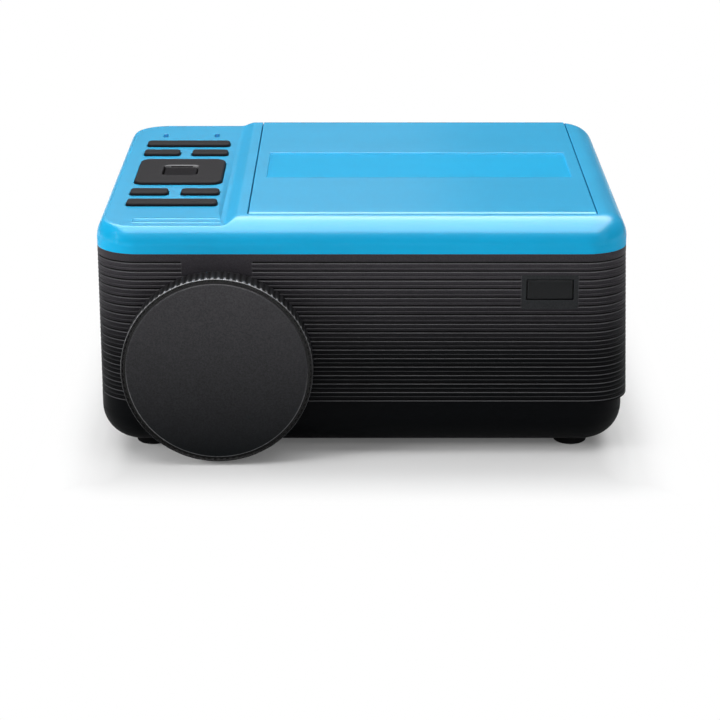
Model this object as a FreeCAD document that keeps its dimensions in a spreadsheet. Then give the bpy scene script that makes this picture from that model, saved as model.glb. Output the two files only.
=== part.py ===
import FreeCAD, Part
import math
import os
import Sketcher
from types import SimpleNamespace

# Top-loading disc projector: ribbed casing, coloured cover with a hinged disc lid and a key panel,
# focus ring with lens cap, straight-through light engine, disc mechanism, boards and cooling.
# X runs to the right seen from the lens side, -Y is the way the lens looks, +Z is up.
# Every piece is drawn about the middle of the casing, then moved so that the origin is the
# middle of the whole object's footprint.

SIZES = {
    # casing
    "bodyWidth": 230.0, "bodyDepth": 198.0, "bodyTop": 106.4, "footHeight": 3.3,
    "coverHeight": 14.7, "wall": 2.5, "cornerRound": 19.0, "topRound": 11.0, "baseRound": 15.0,
    "panelDrop": 3.2, "slopeFoot": 55.0, "slopeRun": 6.5, "coverInnerRound": 6.0,
    "seat": 0.3, "slip": 0.05, "slack": 0.1,
    # horizontal ribs of the casing
    "ribCount": 17, "ribDepth": 0.5, "ribGroove": 0.8, "ribFirst": 3.8, "ribLast": 7.3,
    "badgeWidth": 30.0, "badgeHeight": 6.4, "badgeTop": 3.2,
    # disc lid
    "lidInset": 66.1, "lidMargin": 13.7, "lidSetback": 12.4, "lidThick": 2.2, "lidGap": 0.4,
    "hingeRound": 3.0, "pinRadius": 1.0, "pinLength": 9.0, "pinGrip": 4.5,
    "recessMargin": 5.6, "recessDepth": 47.2, "recessDrop": 0.7, "recessForward": 0.9,
    # disc deck and well
    "deckSheet": 2.0, "deckLip": 3.6, "wellRadius": 62.0, "wellDrop": 8.4, "discForward": 1.0,
    "deckSetback": 11.5,
    "plungerRadius": 3.0, "plungerInset": 18.1, "plungerSetback": 32.0, "plungerLength": 9.0,
    # disc mechanism
    "turntableRadius": 14.0, "discDrop": 6.4, "hubRadius": 7.45, "hubHeight": 2.6,
    "motorRadius": 11.0, "motorHeight": 6.0, "chassisWidth": 84.0, "chassisFront": 79.0,
    "chassisRear": 33.0, "chassisSheet": 1.6, "damperHeight": 2.4, "damperRadius": 4.0,
    "rodRadius": 1.5, "rodSpread": 27.0, "rodDrop": 2.6, "sledLensRadius": 24.0,
    "sledWidth": 44.0, "sledLength": 26.0, "sledHeight": 5.0, "sledTravel": 34.0,
    "objectiveRadius": 4.0, "screwRadius": 1.3, "screwSpread": 35.0, "screwDrop": 6.2,
    "sledMotorRadius": 5.0, "sledMotorLength": 13.0,
    # keys
    "keyInset": 30.9, "keyForward": 1.8, "keyField": 40.0, "keyDepth": 9.0, "keyProud": 1.3,
    "shortKeyWidth": 15.8, "keyRound": 2.0, "keyGap": 0.3, "keyTravel": 0.6, "barReach": 56.0,
    "shortReach": 37.4, "padDepth": 45.0, "padRound": 5.0, "okSide": 15.0, "okGap": 0.6,
    "okDrop": 0.7, "flange": 1.0, "rockGap": 0.8, "lightReach": 75.9, "lightSpread": 12.65,
    "lightWidth": 1.9, "lightDepth": 6.5, "switchSide": 6.0, "switchHeight": 3.4,
    "boardSheet": 1.6, "keyBoardWidth": 46.0, "keyBoardDepth": 150.0,
    # lens, focus ring and cap
    "engineClear": 2.3, "lensLevel": 43.2, "ringRadius": 41.3, "ringReach": 13.5, "ringRim": 2.0,
    "ringGap": 0.6, "fluteCount": 96, "fluteDepth": 0.5, "fluteCutter": 0.8, "hubOuter": 30.0,
    "hubWall": 3.0, "hubInside": 6.0, "ringSheet": 3.0, "capSheet": 2.4, "capSkirt": 6.0, "capWall": 2.0,
    "barrelRadius": 26.6, "barrelWall": 3.0, "barrelLength": 46.0, "barrelClear": 4.0,
    "focusTravel": 4.0, "guideWall": 2.4, "guideLength": 18.0, "retainerWidth": 1.5,
    # light engine
    "engineWidth": 96.0, "engineHeight": 64.0, "engineFront": 29.0, "fanGap": 2.2,
    "engineWall": 2.0, "fresnelSheet": 2.0, "panelSheet": 3.0, "panelRear": 15.0,
    "fieldGap": 5.0, "condenserRadius": 26.0, "condenserThick": 11.0, "lampSheet": 2.0,
    "sinkWidth": 70.0, "sinkDepth": 15.0, "finCount": 12, "finSheet": 1.2,
    "fanSide": 60.0, "fanDepth": 15.0, "fanRadius": 28.0, "fanHub": 10.0, "bladeGap": 2.2,
    "fanBlades": 7, "bladePitch": 35.0,
    # boards, ports, speaker
    "boardLevel": 20.0, "mainBoardInset": 14.0, "mainBoardWidth": 92.0, "boardSetback": 22.5,
    "powerBoardWidth": 84.0, "powerBoardDepth": 46.0, "boardGap": 6.0, "standoffRadius": 3.2,
    "portWidth": 76.0, "portHeight": 22.0, "portInset": 22.0, "portRecess": 1.0,
    "hdmiWidth": 15.0, "hdmiHeight": 5.5, "usbWidth": 14.5, "usbHeight": 7.0, "jackRadius": 3.0,
    "jackBore": 1.8, "jackDepth": 12.0, "cardWidth": 13.0, "cardHeight": 2.4,
    "socketDepth": 12.0, "inletWidth": 24.0, "inletHeight": 14.0, "inletDepth": 16.0,
    "inletPinRadius": 1.2, "inletPinSpread": 4.3, "inletLobe": 5.0,
    "irWidth": 20.5, "irHeight": 9.3, "irInset": 34.1, "irDrop": 15.9, "irMargin": 1.9,
    "irBelow": 4.0, "speakerRadius": 20.0, "speakerDepth": 14.0, "speakerSetback": 49.0,
    "speakerLevel": 50.0,
    # side grille
    "grilleLow": 24.1, "grilleDrop": 3.3, "grilleProud": 2.1, "grilleSunk": 1.2,
    "grilleSlot": 1.6, "slotMargin": 8.0,
    # feet, screws and tripod socket
    "footRadius": 7.35, "footInset": 22.0, "footSetback": 20.0, "spigotRadius": 3.0,
    "postInset": 8.0, "postSetback": 16.0, "postRadius": 4.4, "coverPostRadius": 3.0,
    "screwShank": 1.45, "screwHead": 2.8, "screwHeadHeight": 2.0, "screwBelow": 10.0,
    "screwAbove": 7.0, "tripodBore": 2.6, "insertRadius": 5.0, "insertLength": 8.0,
    "ventSlot": 2.2, "ventPitch": 5.0, "floorSlots": 6,
}
ROTATION = {
    "x": FreeCAD.Rotation(FreeCAD.Vector(0, 1, 0), 90),
    "y": FreeCAD.Rotation(FreeCAD.Vector(1, 0, 0), -90),
    "z": FreeCAD.Rotation(),
}
PLANE = {"xy": "XY_Plane", "xz": "XZ_Plane", "yz": "YZ_Plane"}


# ---- sizes -----------------------------------------------------------------------------------

class Size:
    """A number together with the sheet formula that it comes from."""

    def __init__(self, value, formula=None):
        self.value = float(value)
        self.formula = formula or repr(self.value)

    def combine(self, other, sign, value):
        return Size(value, "(%s %s %s)" % (self.formula, sign, other.formula))

    def __add__(self, other):
        other = sized(other)
        return self.combine(other, "+", self.value + other.value)

    def __sub__(self, other):
        other = sized(other)
        return self.combine(other, "-", self.value - other.value)

    def __mul__(self, other):
        other = sized(other)
        return self.combine(other, "*", self.value * other.value)

    def __truediv__(self, other):
        other = sized(other)
        return self.combine(other, "/", self.value / other.value)

    def __radd__(self, other):
        return sized(other) + self

    def __rsub__(self, other):
        return sized(other) - self

    def __rmul__(self, other):
        return sized(other) * self

    def __neg__(self):
        return sized(0) - self


def sized(number):
    return number if isinstance(number, Size) else Size(number)


def make_sheet(document):
    """Write the driving sizes into the sheet and return them by name."""
    sheet = document.addObject("Spreadsheet::Sheet", "Sizes")
    for row, (alias, value) in enumerate(SIZES.items(), start=1):
        sheet.set("A%d" % row, alias)
        sheet.set("B%d" % row, str(value))
        sheet.setAlias("B%d" % row, alias)
    document.recompute()
    return SimpleNamespace(**{alias: Size(sheet.get(alias), "Sizes." + alias) for alias in SIZES})


doc = FreeCAD.newDocument("projector")
s = make_sheet(doc)
where = {}
pieces = {}


# ---- building blocks ---------------------------------------------------------------------------

def bind(thing, path, size):
    thing.setExpression(path, sized(size).formula)


def move(thing, x=0, y=0, z=0):
    """Bind an object's position to sheet formulas."""
    where[thing.Name] = [sized(number) for number in (x, y, z)]
    for letter, size in zip("xyz", where[thing.Name]):
        bind(thing, "Placement.Base." + letter, size)
    return thing


def box(name, low, high):
    """Box between two opposite corners."""
    thing = doc.addObject("Part::Box", name)
    for side, a, b in zip(("Length", "Width", "Height"), low, high):
        bind(thing, side, sized(b) - a)
    return move(thing, *low)


def rod(name, start, axis, radius, length):
    """Cylinder from the centre of its first end along +axis."""
    thing = doc.addObject("Part::Cylinder", name)
    thing.Placement = FreeCAD.Placement(FreeCAD.Vector(), ROTATION[axis])
    bind(thing, "Radius", radius)
    bind(thing, "Height", length)
    return move(thing, *start)


def fuse(name, *parts):
    thing = doc.addObject("Part::MultiFuse", name)
    thing.Shapes = list(parts)
    return thing


def cut(name, base, *tools):
    thing = doc.addObject("Part::Cut", name)
    thing.Base = base
    thing.Tool = tools[0] if len(tools) == 1 else fuse(name + "_tools", *tools)
    return thing


def common(name, first, second):
    thing = doc.addObject("Part::MultiCommon", name)
    thing.Shapes = [first, second]
    return thing


def new_body(name, x=0, y=0, z=0):
    return move(doc.addObject("PartDesign::Body", name), x, y, z)


def sketch_on(body, plane, offset=0):
    """Empty sketch on one of the body's own origin planes, shifted along the plane's normal."""
    sketch = body.newObject("Sketcher::SketchObject", body.Name + "_sketch")
    support = [part for part in body.Origin.OriginFeatures if part.Role == PLANE[plane]]
    sketch.AttachmentSupport = [(support[0], "")]
    sketch.MapMode = "FlatFace"
    bind(sketch, "AttachmentOffset.Base.z", offset)
    return sketch


def constrain(sketch, rows):
    """Add constraints; a row is (arguments) or (arguments, size) with the size bound to the sheet."""
    for arguments, size in rows:
        values = list(arguments) + ([size.value] if size is not None else [])
        index = sketch.addConstraint(Sketcher.Constraint(*values))
        if size is not None:
            sketch.setExpression("Constraints[%d]" % index, size.formula)


def polygon(sketch, points):
    """Closed outline; every corner is placed from the sketch's origin."""
    points = [(sized(u), sized(v)) for u, v in points]
    first, count = sketch.GeometryCount, len(points)
    corners = [FreeCAD.Vector(u.value, v.value, 0) for u, v in points]
    sketch.addGeometry([Part.LineSegment(corners[i], corners[(i + 1) % count])
                        for i in range(count)], False)
    rows = [(("Coincident", first + i, 2, first + (i + 1) % count, 1), None) for i in range(count)]
    for i, (u, v) in enumerate(points):
        rows.append((("DistanceX", -1, 1, first + i, 1), u))
        rows.append((("DistanceY", -1, 1, first + i, 1), v))
    constrain(sketch, rows)


def circle(sketch, u, v, radius):
    u, v, radius = sized(u), sized(v), sized(radius)
    centre = FreeCAD.Vector(u.value, v.value, 0)
    index = sketch.addGeometry(Part.Circle(centre, FreeCAD.Vector(0, 0, 1), radius.value), False)
    constrain(sketch, [(("DistanceX", -1, 1, index, 3), u), (("DistanceY", -1, 1, index, 3), v),
                       (("Radius", index), radius)])


def rounded(sketch, u, v, width, depth, radius):
    """Rounded rectangle about (u, v)."""
    u, v, width, depth, radius = [sized(number) for number in (u, v, width, depth, radius)]
    low_u, low_v = u - width / 2, v - depth / 2
    quarter = 1.5707963267948966
    a, b, r = low_u.value, low_v.value, radius.value
    c, d = a + width.value, b + depth.value
    lines = [((a + r, b), (c - r, b)), ((c, b + r), (c, d - r)),
             ((c - r, d), (a + r, d)), ((a, d - r), (a, b + r))]
    turns = [(c - r, b + r, 3), (c - r, d - r, 0), (a + r, d - r, 1), (a + r, b + r, 2)]
    first = sketch.GeometryCount
    for (p, q), (x, y, turn) in zip(lines, turns):
        sketch.addGeometry(Part.LineSegment(FreeCAD.Vector(*p, 0), FreeCAD.Vector(*q, 0)), False)
        ring = Part.Circle(FreeCAD.Vector(x, y, 0), FreeCAD.Vector(0, 0, 1), r)
        sketch.addGeometry(Part.ArcOfCircle(ring, turn * quarter, (turn + 1) * quarter), False)
    rows = []
    for side in range(4):
        line, arc, following = first + 2 * side, first + 2 * side + 1, first + (2 * side + 2) % 8
        rows.append((("Tangent", line, 2, arc, 1), None))
        rows.append((("Tangent", arc, 2, following, 1), None))
        rows.append((("Vertical" if side % 2 else "Horizontal", line), None))
        if side:
            rows.append((("Equal", first + 1, arc), None))
    rows += [(("Radius", first + 1), radius),
             (("DistanceX", -1, 1, first + 6, 1), low_u), (("DistanceY", -1, 1, first, 1), low_v),
             (("DistanceX", first + 6, 1, first + 2, 1), width),
             (("DistanceY", first, 1, first + 4, 1), depth)]
    constrain(sketch, rows)


def pad(body, sketch, length, backwards=False):
    feature = body.newObject("PartDesign::Pad", body.Name + "_pad")
    feature.Profile = sketch
    bind(feature, "Length", length)
    feature.Reversed = backwards
    return feature


def pocket(body, sketch, length, backwards=False):
    """Pocket against the sketch's normal; it has to take material away."""
    doc.recompute()
    before = body.Shape.Volume
    feature = body.newObject("PartDesign::Pocket", body.Name + "_pocket")
    feature.Profile = sketch
    bind(feature, "Length", length)
    feature.Reversed = backwards
    doc.recompute()
    if not body.Shape.Volume < before - 1e-6:
        raise ValueError(body.Name + ": the pocket cuts nothing")
    return feature


def turned(name, axis, outline, x=0, y=0, z=0):
    """Piece turned about an axis through (x, y, z); the outline is (radius, place along the axis)."""
    body = new_body(name, x, y, z)
    sketch = sketch_on(body, "xy" if axis == "y" else "xz")
    polygon(sketch, outline)
    feature = body.newObject("PartDesign::Revolution", name + "_turn")
    feature.Profile = sketch
    feature.ReferenceAxis = (sketch, ["V_Axis"])
    feature.Angle = 360
    return body


def slab(name, u, v, width, depth, radius, low, high, round_low=None, round_high=None):
    """Upright rounded block, with its lower or upper rim filleted where a radius is given."""
    body = new_body(name)
    sketch = sketch_on(body, "xy", low)
    rounded(sketch, u, v, width, depth, radius)
    pad(body, sketch, sized(high) - low)
    for level, rim in ((sized(low), round_low), (sized(high), round_high)):
        if rim is not None:
            fillet_rim(body, level, rim)
    return body


def fillet_rim(body, level, radius):
    """Fillet the edges that lie flat at one level."""
    doc.recompute()
    base = body.Tip
    rim = ["Edge%d" % (i + 1) for i, edge in enumerate(base.Shape.Edges)
           if edge.BoundBox.ZLength < 1e-4 and abs(edge.BoundBox.ZMin - level.value) < 1e-4]
    feature = body.newObject("PartDesign::Fillet", body.Name + "_fillet")
    feature.Base = (base, rim)
    bind(feature, "Radius", radius)
    body.Tip = feature


def prism(name, plane, offset, length, points):
    """Straight block with a polygon section; its length runs along the plane's normal."""
    body = new_body(name)
    sketch = sketch_on(body, plane, offset)
    polygon(sketch, points)
    pad(body, sketch, length)
    return body


def piece(label, thing):
    """Name a finished sub-part and stand it in the object's own frame."""
    thing.Label = label
    x, y, z = where.get(thing.Name, [sized(0)] * 3)
    move(thing, x + s.grilleProud * -0.5, y + s.ringReach / 2, z)
    pieces[label] = thing
    return thing


# ---- shared places -----------------------------------------------------------------------------

left, right = s.bodyWidth * -0.5, s.bodyWidth / 2
front, rear = s.bodyDepth * -0.5, s.bodyDepth / 2
inner_right, inner_front, inner_rear = right - s.wall, front + s.wall, rear - s.wall
floor = s.footHeight + s.wall
seam = s.bodyTop - s.coverHeight
panel_top = s.bodyTop - s.panelDrop
panel_under = panel_top - s.wall
platform_under = s.bodyTop - s.wall
slope_foot = left + s.slopeFoot
slope_top = slope_foot + s.slopeRun
corners = [(sx, sy) for sx in (-1, 1) for sy in (-1, 1)]

rib_pitch = ((seam - s.ribFirst - s.footHeight - s.baseRound - s.ribLast)
             / (s.ribCount - 1))
post_spots = [((s.bodyWidth / 2 - s.postInset) * sx, (s.bodyDepth / 2 - s.postSetback) * sy)
              for sx, sy in corners]
foot_spots = [((s.bodyWidth / 2 - s.footInset) * sx, (s.bodyDepth / 2 - s.footSetback) * sy)
              for sx, sy in corners]

lid_left = left + s.lidInset
lid_right = right - s.lidMargin
lid_width = lid_right - lid_left
lid_front = front + s.lidSetback
lid_under = s.bodyTop - s.lidThick
pivot_y, pivot_z = lid_front + s.hingeRound, s.bodyTop - s.hingeRound
tail_y, tail_z = rear - s.topRound, s.bodyTop - s.topRound
disc_x, disc_y = lid_left + lid_width / 2, s.discForward
well_floor = s.bodyTop - s.wellDrop
disc_seat = s.bodyTop - s.discDrop
key_x, key_y = left + s.keyInset, -s.keyForward

lens_x, lens_z = left + s.wall + s.engineClear + s.engineWidth / 2, s.lensLevel
cap_plane = front - s.ringReach
engine_front = front + s.engineFront
fan_y = (inner_rear - s.fanGap - s.fanDepth, inner_rear - s.fanGap)
engine_rear = fan_y[0] - s.seat - s.sinkDepth - s.lampSheet
ir_x, ir_z = right - s.irInset, seam - s.irDrop
grille_high = seam - s.grilleDrop
speaker_y = front + s.speakerSetback


# ---- casing: ribbed lower housing ----------------------------------------------------------------

def housing_outer():
    """Outside of the lower housing with its ring grooves and the two plain patches."""
    body = slab("housing_outer", 0, 0, s.bodyWidth, s.bodyDepth, s.cornerRound,
                s.footHeight, seam, round_low=s.baseRound)
    groove = sketch_on(body, "xy", seam - s.ribFirst + s.ribGroove / 2)
    rounded(groove, 0, 0, s.bodyWidth + 2, s.bodyDepth + 2, s.cornerRound + 1)
    rounded(groove, 0, 0, s.bodyWidth - s.ribDepth * 2, s.bodyDepth - s.ribDepth * 2,
            s.cornerRound - s.ribDepth)
    first = pocket(body, groove, s.ribGroove)
    ribs = body.newObject("PartDesign::LinearPattern", "ribs")
    ribs.Originals = [first]
    ribs.Direction = (groove, ["N_Axis"])
    ribs.Reversed = True
    bind(ribs, "Length", rib_pitch * (s.ribCount - 1))
    bind(ribs, "Occurrences", s.ribCount)
    body.Tip = ribs
    plug = s.ribDepth + s.slack
    for x, width, low, high in (
            (lens_x, s.badgeWidth, seam - s.badgeTop - s.badgeHeight,
             seam - s.badgeTop),
            (ir_x, s.irWidth + s.irMargin * 2,
             ir_z - s.irHeight / 2 - s.irBelow, ir_z + s.irHeight / 2 + s.irMargin)):
        patch = sketch_on(body, "xz", -(front + plug))
        polygon(patch, [(x - width / 2, low), (x + width / 2, low),
                        (x + width / 2, high), (x - width / 2, high)])
        pad(body, patch, plug)
    return body


def slots(name, axis, start, length, low, high, across, pitch, width):
    """Row of level slots between two heights, cut along one axis."""
    count = int((high.value - low.value - width.value) / pitch.value) + 1
    made = []
    for i in range(count):
        z = low + pitch * i
        a, b = sized(start), sized(start) + length
        if axis == "y":
            made.append(box(name, (across[0], a, z), (across[1], b, z + width)))
        else:
            made.append(box(name, (a, across[0], z), (b, across[1], z + width)))
    return made


main_x = (right - s.mainBoardInset - s.mainBoardWidth, right - s.mainBoardInset)
power_x = (main_x[0], main_x[0] + s.powerBoardWidth)
power_y = (front + s.boardSetback, front + s.boardSetback + s.powerBoardDepth)
main_y = (power_y[1] + s.boardGap / 2, inner_rear - s.boardGap)
port_z = s.boardLevel + s.portRecess
port_x = (right - s.portInset - s.portWidth, right - s.portInset)
inlet_x = (lens_x + s.fanSide / 2 + port_x[0]) / 2
inlet_z = port_z + s.inletHeight / 2
grille_y = s.bodyDepth / 2 - s.cornerRound

standoff_spots = [(x, y) for xs, ys in ((main_x, main_y), (power_x, power_y))
                  for x in (xs[0] + s.standoffRadius, xs[1] - s.standoffRadius)
                  for y in (ys[0] + s.standoffRadius, ys[1] - s.standoffRadius)]

housing_cavity = slab("housing_cavity", 0, 0, s.bodyWidth - s.wall * 2, s.bodyDepth - s.wall * 2,
                      s.cornerRound - s.wall, floor, seam + 1,
                      round_low=s.baseRound - s.wall)
housing_keeps = [rod("post", (x, y, s.footHeight), "z", s.postRadius, seam - s.footHeight)
                 for x, y in post_spots]
housing_keeps += [rod("standoff", (x, y, s.footHeight), "z", s.standoffRadius,
                      s.boardLevel - s.footHeight) for x, y in standoff_spots]
housing_keeps.append(rod("tripod_boss", (0, 0, s.footHeight), "z", s.insertRadius + s.wall,
                         s.insertLength + s.wall))
ir_board_y = inner_front + s.boardGap
ir_post_x = s.irWidth / 2 + s.wall + s.flange
for side in (-1, 1):
    housing_keeps.append(rod("ir_post", (ir_x + ir_post_x * side, inner_front - 1, ir_z),
                             "y", s.wall, s.boardGap + 1))
for side in (-1, 1):
    housing_keeps.append(box("speaker_rail", (inner_right - s.boardGap, speaker_y
                                              + (s.speakerRadius + s.slack) * side
                                              + s.wall * (side - 1) / 2, s.footHeight),
                             (inner_right + 1, speaker_y + (s.speakerRadius + s.slack) * side
                              + s.wall * (side + 1) / 2, s.speakerLevel)))

post_hole_top = seam - s.screwBelow
round_holes = [
    rod("lens_hole", (lens_x, front - 1, lens_z), "y", s.hubOuter + s.seat, s.wall + 2),
    rod("retainer_room", (lens_x, inner_front, lens_z), "y", s.hubOuter + s.retainerWidth + s.seat,
        s.hubInside + 1),
    rod("speaker_hole", (inner_right - 1, speaker_y, s.speakerLevel), "x",
        s.speakerRadius - s.wall, s.wall + 2),
    rod("tripod_hole", (0, 0, s.footHeight - 1), "z", s.insertRadius, s.insertLength + 1)]
for x, y in post_spots:
    round_holes.append(rod("head_hole", (x, y, 0), "z", s.screwHead + s.slack, post_hole_top))
    round_holes.append(rod("shank_hole", (x, y, 0), "z", s.screwShank + s.slack, seam + 1))
round_holes += [rod("spigot_hole", (x, y, 0), "z", s.spigotRadius, floor + 1)
                for x, y in foot_spots]
wall_holes = [
    box("ir_hole", (ir_x - s.irWidth / 2, front - 1, ir_z - s.irHeight / 2),
        (ir_x + s.irWidth / 2, inner_front + 1, ir_z + s.irHeight / 2)),
    box("port_hole", (port_x[0], inner_rear - 1, port_z),
        (port_x[1], rear + 1, port_z + s.portHeight)),
    box("inlet_hole", (inlet_x - s.inletWidth / 2, inner_rear - 1, inlet_z - s.inletHeight / 2),
        (inlet_x + s.inletWidth / 2, rear + 1, inlet_z + s.inletHeight / 2)),
    box("grille_seat", (right - s.grilleSunk, -grille_y, s.grilleLow),
        (right + 1, grille_y, grille_high)),
    box("intake_hole", (inner_right - 1, -s.slotMargin, s.grilleLow + s.slotMargin),
        (right + 1, grille_y - s.slotMargin, grille_high - s.slotMargin))]
fan_low, fan_high = lens_z - s.fanRadius + s.ventSlot, lens_z + s.fanRadius
vents = slots("exhaust", "y", inner_rear - 1, s.wall + 2, fan_low, fan_high,
              (lens_x - s.fanRadius + s.ventSlot, lens_x + s.fanRadius - s.ventSlot),
              s.ventPitch, s.ventSlot)
for i in range(int(s.floorSlots.value)):
    slot_x = main_x[0] + s.standoffRadius * 3 + s.ventPitch * 2 * i
    vents.append(box("floor_slot", (slot_x, front + s.postSetback + s.cornerRound, s.footHeight - 1),
                     (slot_x + s.ventSlot, s.ventPitch * -2, floor + 1)))
housing_shell = cut("housing_shell", housing_outer(),
                    cut("housing_hollow", housing_cavity, *housing_keeps))
piece("bottom_housing", cut("bottom_housing_cut", cut("housing_bored", housing_shell, *round_holes),
                            *(wall_holes + vents)))


# ---- casing: coloured cover ----------------------------------------------------------------------

cover_outer = slab("cover_outer", 0, 0, s.bodyWidth, s.bodyDepth, s.cornerRound,
                   seam, s.bodyTop, round_high=s.topRound)
cover_cavity = slab("cover_cavity", 0, 0, s.bodyWidth - s.wall * 2, s.bodyDepth - s.wall * 2,
                    s.cornerRound - s.wall, seam - 1, panel_under,
                    round_high=s.coverInnerRound)
cavity_left = lid_left - s.lidGap - s.deckLip
deck_end = rear - s.deckSetback
platform_cavity = box("platform_cavity",
                      (cavity_left, front + s.topRound - s.deckSheet, panel_under - s.coverInnerRound),
                      (right - s.topRound + s.deckSheet, rear - s.topRound + s.deckSheet,
                       platform_under))
boss_low = pivot_z - s.hingeRound
key_board_x = (key_x - s.keyBoardWidth / 2, key_x + s.keyBoardWidth / 2)
key_board_front = key_y - s.barReach - s.keyDepth * 1.5
key_board_y = (key_board_front, key_board_front + s.keyBoardDepth)
switch_top = panel_under - s.flange - s.rockGap - s.keyTravel - s.slack
key_board_top = switch_top - s.switchHeight
cover_keeps = [rod("cover_post", (x, y, seam - 1), "z", s.coverPostRadius, s.coverHeight)
               for x, y in post_spots]
cover_keeps += [box("hinge_boss_left", (cavity_left - 1, lid_front - s.lidGap, boss_low),
                    (lid_left - s.lidGap, pivot_y + s.hingeRound + s.lidGap, s.bodyTop)),
                box("hinge_boss_right", (lid_right + s.lidGap, lid_front - s.lidGap, boss_low),
                    (right - s.wall, pivot_y + s.hingeRound + s.lidGap, s.bodyTop)),
                box("rear_rib_left", (cavity_left - 1, deck_end + s.slack, seam),
                    (lid_left - s.lidGap, rear, s.bodyTop)),
                box("rear_rib_right", (lid_right + s.lidGap, deck_end + s.slack, seam),
                    (lid_right + s.lidGap + s.wall, rear, s.bodyTop))]
cover_keeps += [rod("key_boss", (x, y, key_board_top), "z", s.wall,
                    panel_under + 1 - key_board_top)
                for x in (key_board_x[0] + s.wall, key_board_x[1] - s.wall)
                for y in (key_board_y[0] + s.wall, key_board_y[1] - s.wall)]

key_panel_cut = prism("key_panel_cut", "xz", front - 1, s.bodyDepth + 2, [
    (left - 1, panel_top), (slope_foot, panel_top), (slope_top, s.bodyTop),
    (slope_top, s.bodyTop + 1), (left - 1, s.bodyTop + 1)])


def key_plan(name):
    """Centre, width and depth of a key in plan."""
    short_x = (s.keyField - s.shortKeyWidth) / 2
    plans = {
        "front_bar_key": (key_x, key_y - s.barReach, s.keyField, s.keyDepth),
        "front_left_key": (key_x - short_x, key_y - s.shortReach, s.shortKeyWidth, s.keyDepth),
        "front_right_key": (key_x + short_x, key_y - s.shortReach, s.shortKeyWidth, s.keyDepth),
        "navigation_pad": (key_x, key_y, s.keyField, s.padDepth),
        "rear_left_key": (key_x - short_x, key_y + s.shortReach, s.shortKeyWidth, s.keyDepth),
        "rear_right_key": (key_x + short_x, key_y + s.shortReach, s.shortKeyWidth, s.keyDepth),
        "rear_bar_key": (key_x, key_y + s.barReach, s.keyField, s.keyDepth),
    }
    return plans[name]


KEYS = ("front_bar_key", "front_left_key", "front_right_key", "navigation_pad",
        "rear_left_key", "rear_right_key", "rear_bar_key")


def key_corner(name):
    return s.padRound if name == "navigation_pad" else s.keyRound


cover_holes = []
for name in KEYS:
    x, y, width, depth = key_plan(name)
    cover_holes.append(slab(name + "_hole", x, y, width + s.keyGap * 2, depth + s.keyGap * 2,
                            key_corner(name) + s.keyGap, panel_under - 1, panel_top + 1))
light_spots = [(key_x + s.lightSpread * side, key_y + s.lightReach) for side in (-1, 1)]
for x, y in light_spots:
    cover_holes.append(box("light_hole", (x - s.lightWidth / 2 - s.slack, y - s.lightDepth / 2 - s.slack,
                                          panel_under - 1),
                           (x + s.lightWidth / 2 + s.slack, y + s.lightDepth / 2 + s.slack,
                            panel_top + 1)))
cover_holes.append(box("lid_opening", (lid_left - s.lidGap, lid_front - s.lidGap, lid_under - 1),
                       (lid_right + s.lidGap, rear - s.topRound + s.deckSheet, s.bodyTop + 1)))
cover_holes.append(box("tail_opening", (lid_left - s.lidGap, rear - s.topRound, tail_z - s.lidGap),
                       (lid_right + s.lidGap, rear + 1, s.bodyTop + 1)))
pin_starts = (lid_left - s.pinGrip, lid_right + s.pinGrip - s.pinLength)
for x in pin_starts:
    cover_holes.append(rod("pin_hole", (x, pivot_y, pivot_z), "x", s.pinRadius, s.pinLength))
cover_holes += [rod("pilot_hole", (x, y, seam - 1), "z", s.screwShank, s.screwAbove + 1)
                for x, y in post_spots]
piece("top_cover", cut(
    "top_cover_cut", cut("cover_shell", cover_outer,
                         cut("cover_hollow", fuse("cover_hollows", cover_cavity, platform_cavity),
                             *cover_keeps)),
    key_panel_cut, *cover_holes))


# ---- disc lid, its hinge pins and the touch latch --------------------------------------------------

lid_sheet = box("lid_sheet", (lid_left, pivot_y, lid_under), (lid_right, tail_y, s.bodyTop))
lid_roll = rod("lid_roll", (lid_left, pivot_y, pivot_z), "x", s.hingeRound, lid_width)
tail_ring = cut("tail_ring",
                rod("tail_outer", (lid_left, tail_y, tail_z), "x", s.topRound, lid_width),
                rod("tail_inner", (lid_left - 1, tail_y, tail_z), "x", s.topRound - s.lidThick,
                    lid_width + 2))
tail_quarter = common("lid_tail", tail_ring, box("tail_box", (lid_left, tail_y, tail_z),
                                                 (lid_right, rear + 1, s.bodyTop + 1)))
recess = box("lid_recess", (lid_left + s.recessMargin, s.recessForward - s.recessDepth / 2,
                            s.bodyTop - s.recessDrop),
             (lid_right - s.recessMargin, s.recessForward + s.recessDepth / 2, s.bodyTop + 1))
lid_holes = [rod("lid_pin_hole", (x, pivot_y, pivot_z), "x", s.pinRadius + s.slip, s.pinLength)
             for x in pin_starts]
lid_whole = fuse("lid_whole", lid_sheet, lid_roll, tail_quarter)
lid_limit = slab("lid_limit", 0, 0, s.bodyWidth, s.bodyDepth, s.cornerRound,
                 seam, s.bodyTop, round_high=s.topRound)
piece("disc_lid", cut("disc_lid_cut", common("lid_trimmed", lid_whole, lid_limit),
                      recess, *lid_holes))
piece("lid_hinge_pins", fuse("lid_hinge_pins_fuse", *[
    rod("lid_pin", (x, pivot_y, pivot_z), "x", s.pinRadius, s.pinLength) for x in pin_starts]))

plunger_x, plunger_y = lid_left + s.plungerInset, rear - s.plungerSetback
plunger_top = lid_under - s.seat
plunger_low = plunger_top - s.plungerLength
guide_low = plunger_low + s.flange + s.seat
piece("lid_latch_plunger", fuse(
    "plunger",
    rod("plunger_stem", (plunger_x, plunger_y, plunger_low), "z", s.plungerRadius,
        s.plungerLength),
    rod("plunger_collar", (plunger_x, plunger_y, plunger_low), "z",
        s.plungerRadius + s.flange, s.flange)))


# ---- disc deck -------------------------------------------------------------------------------------

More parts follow.
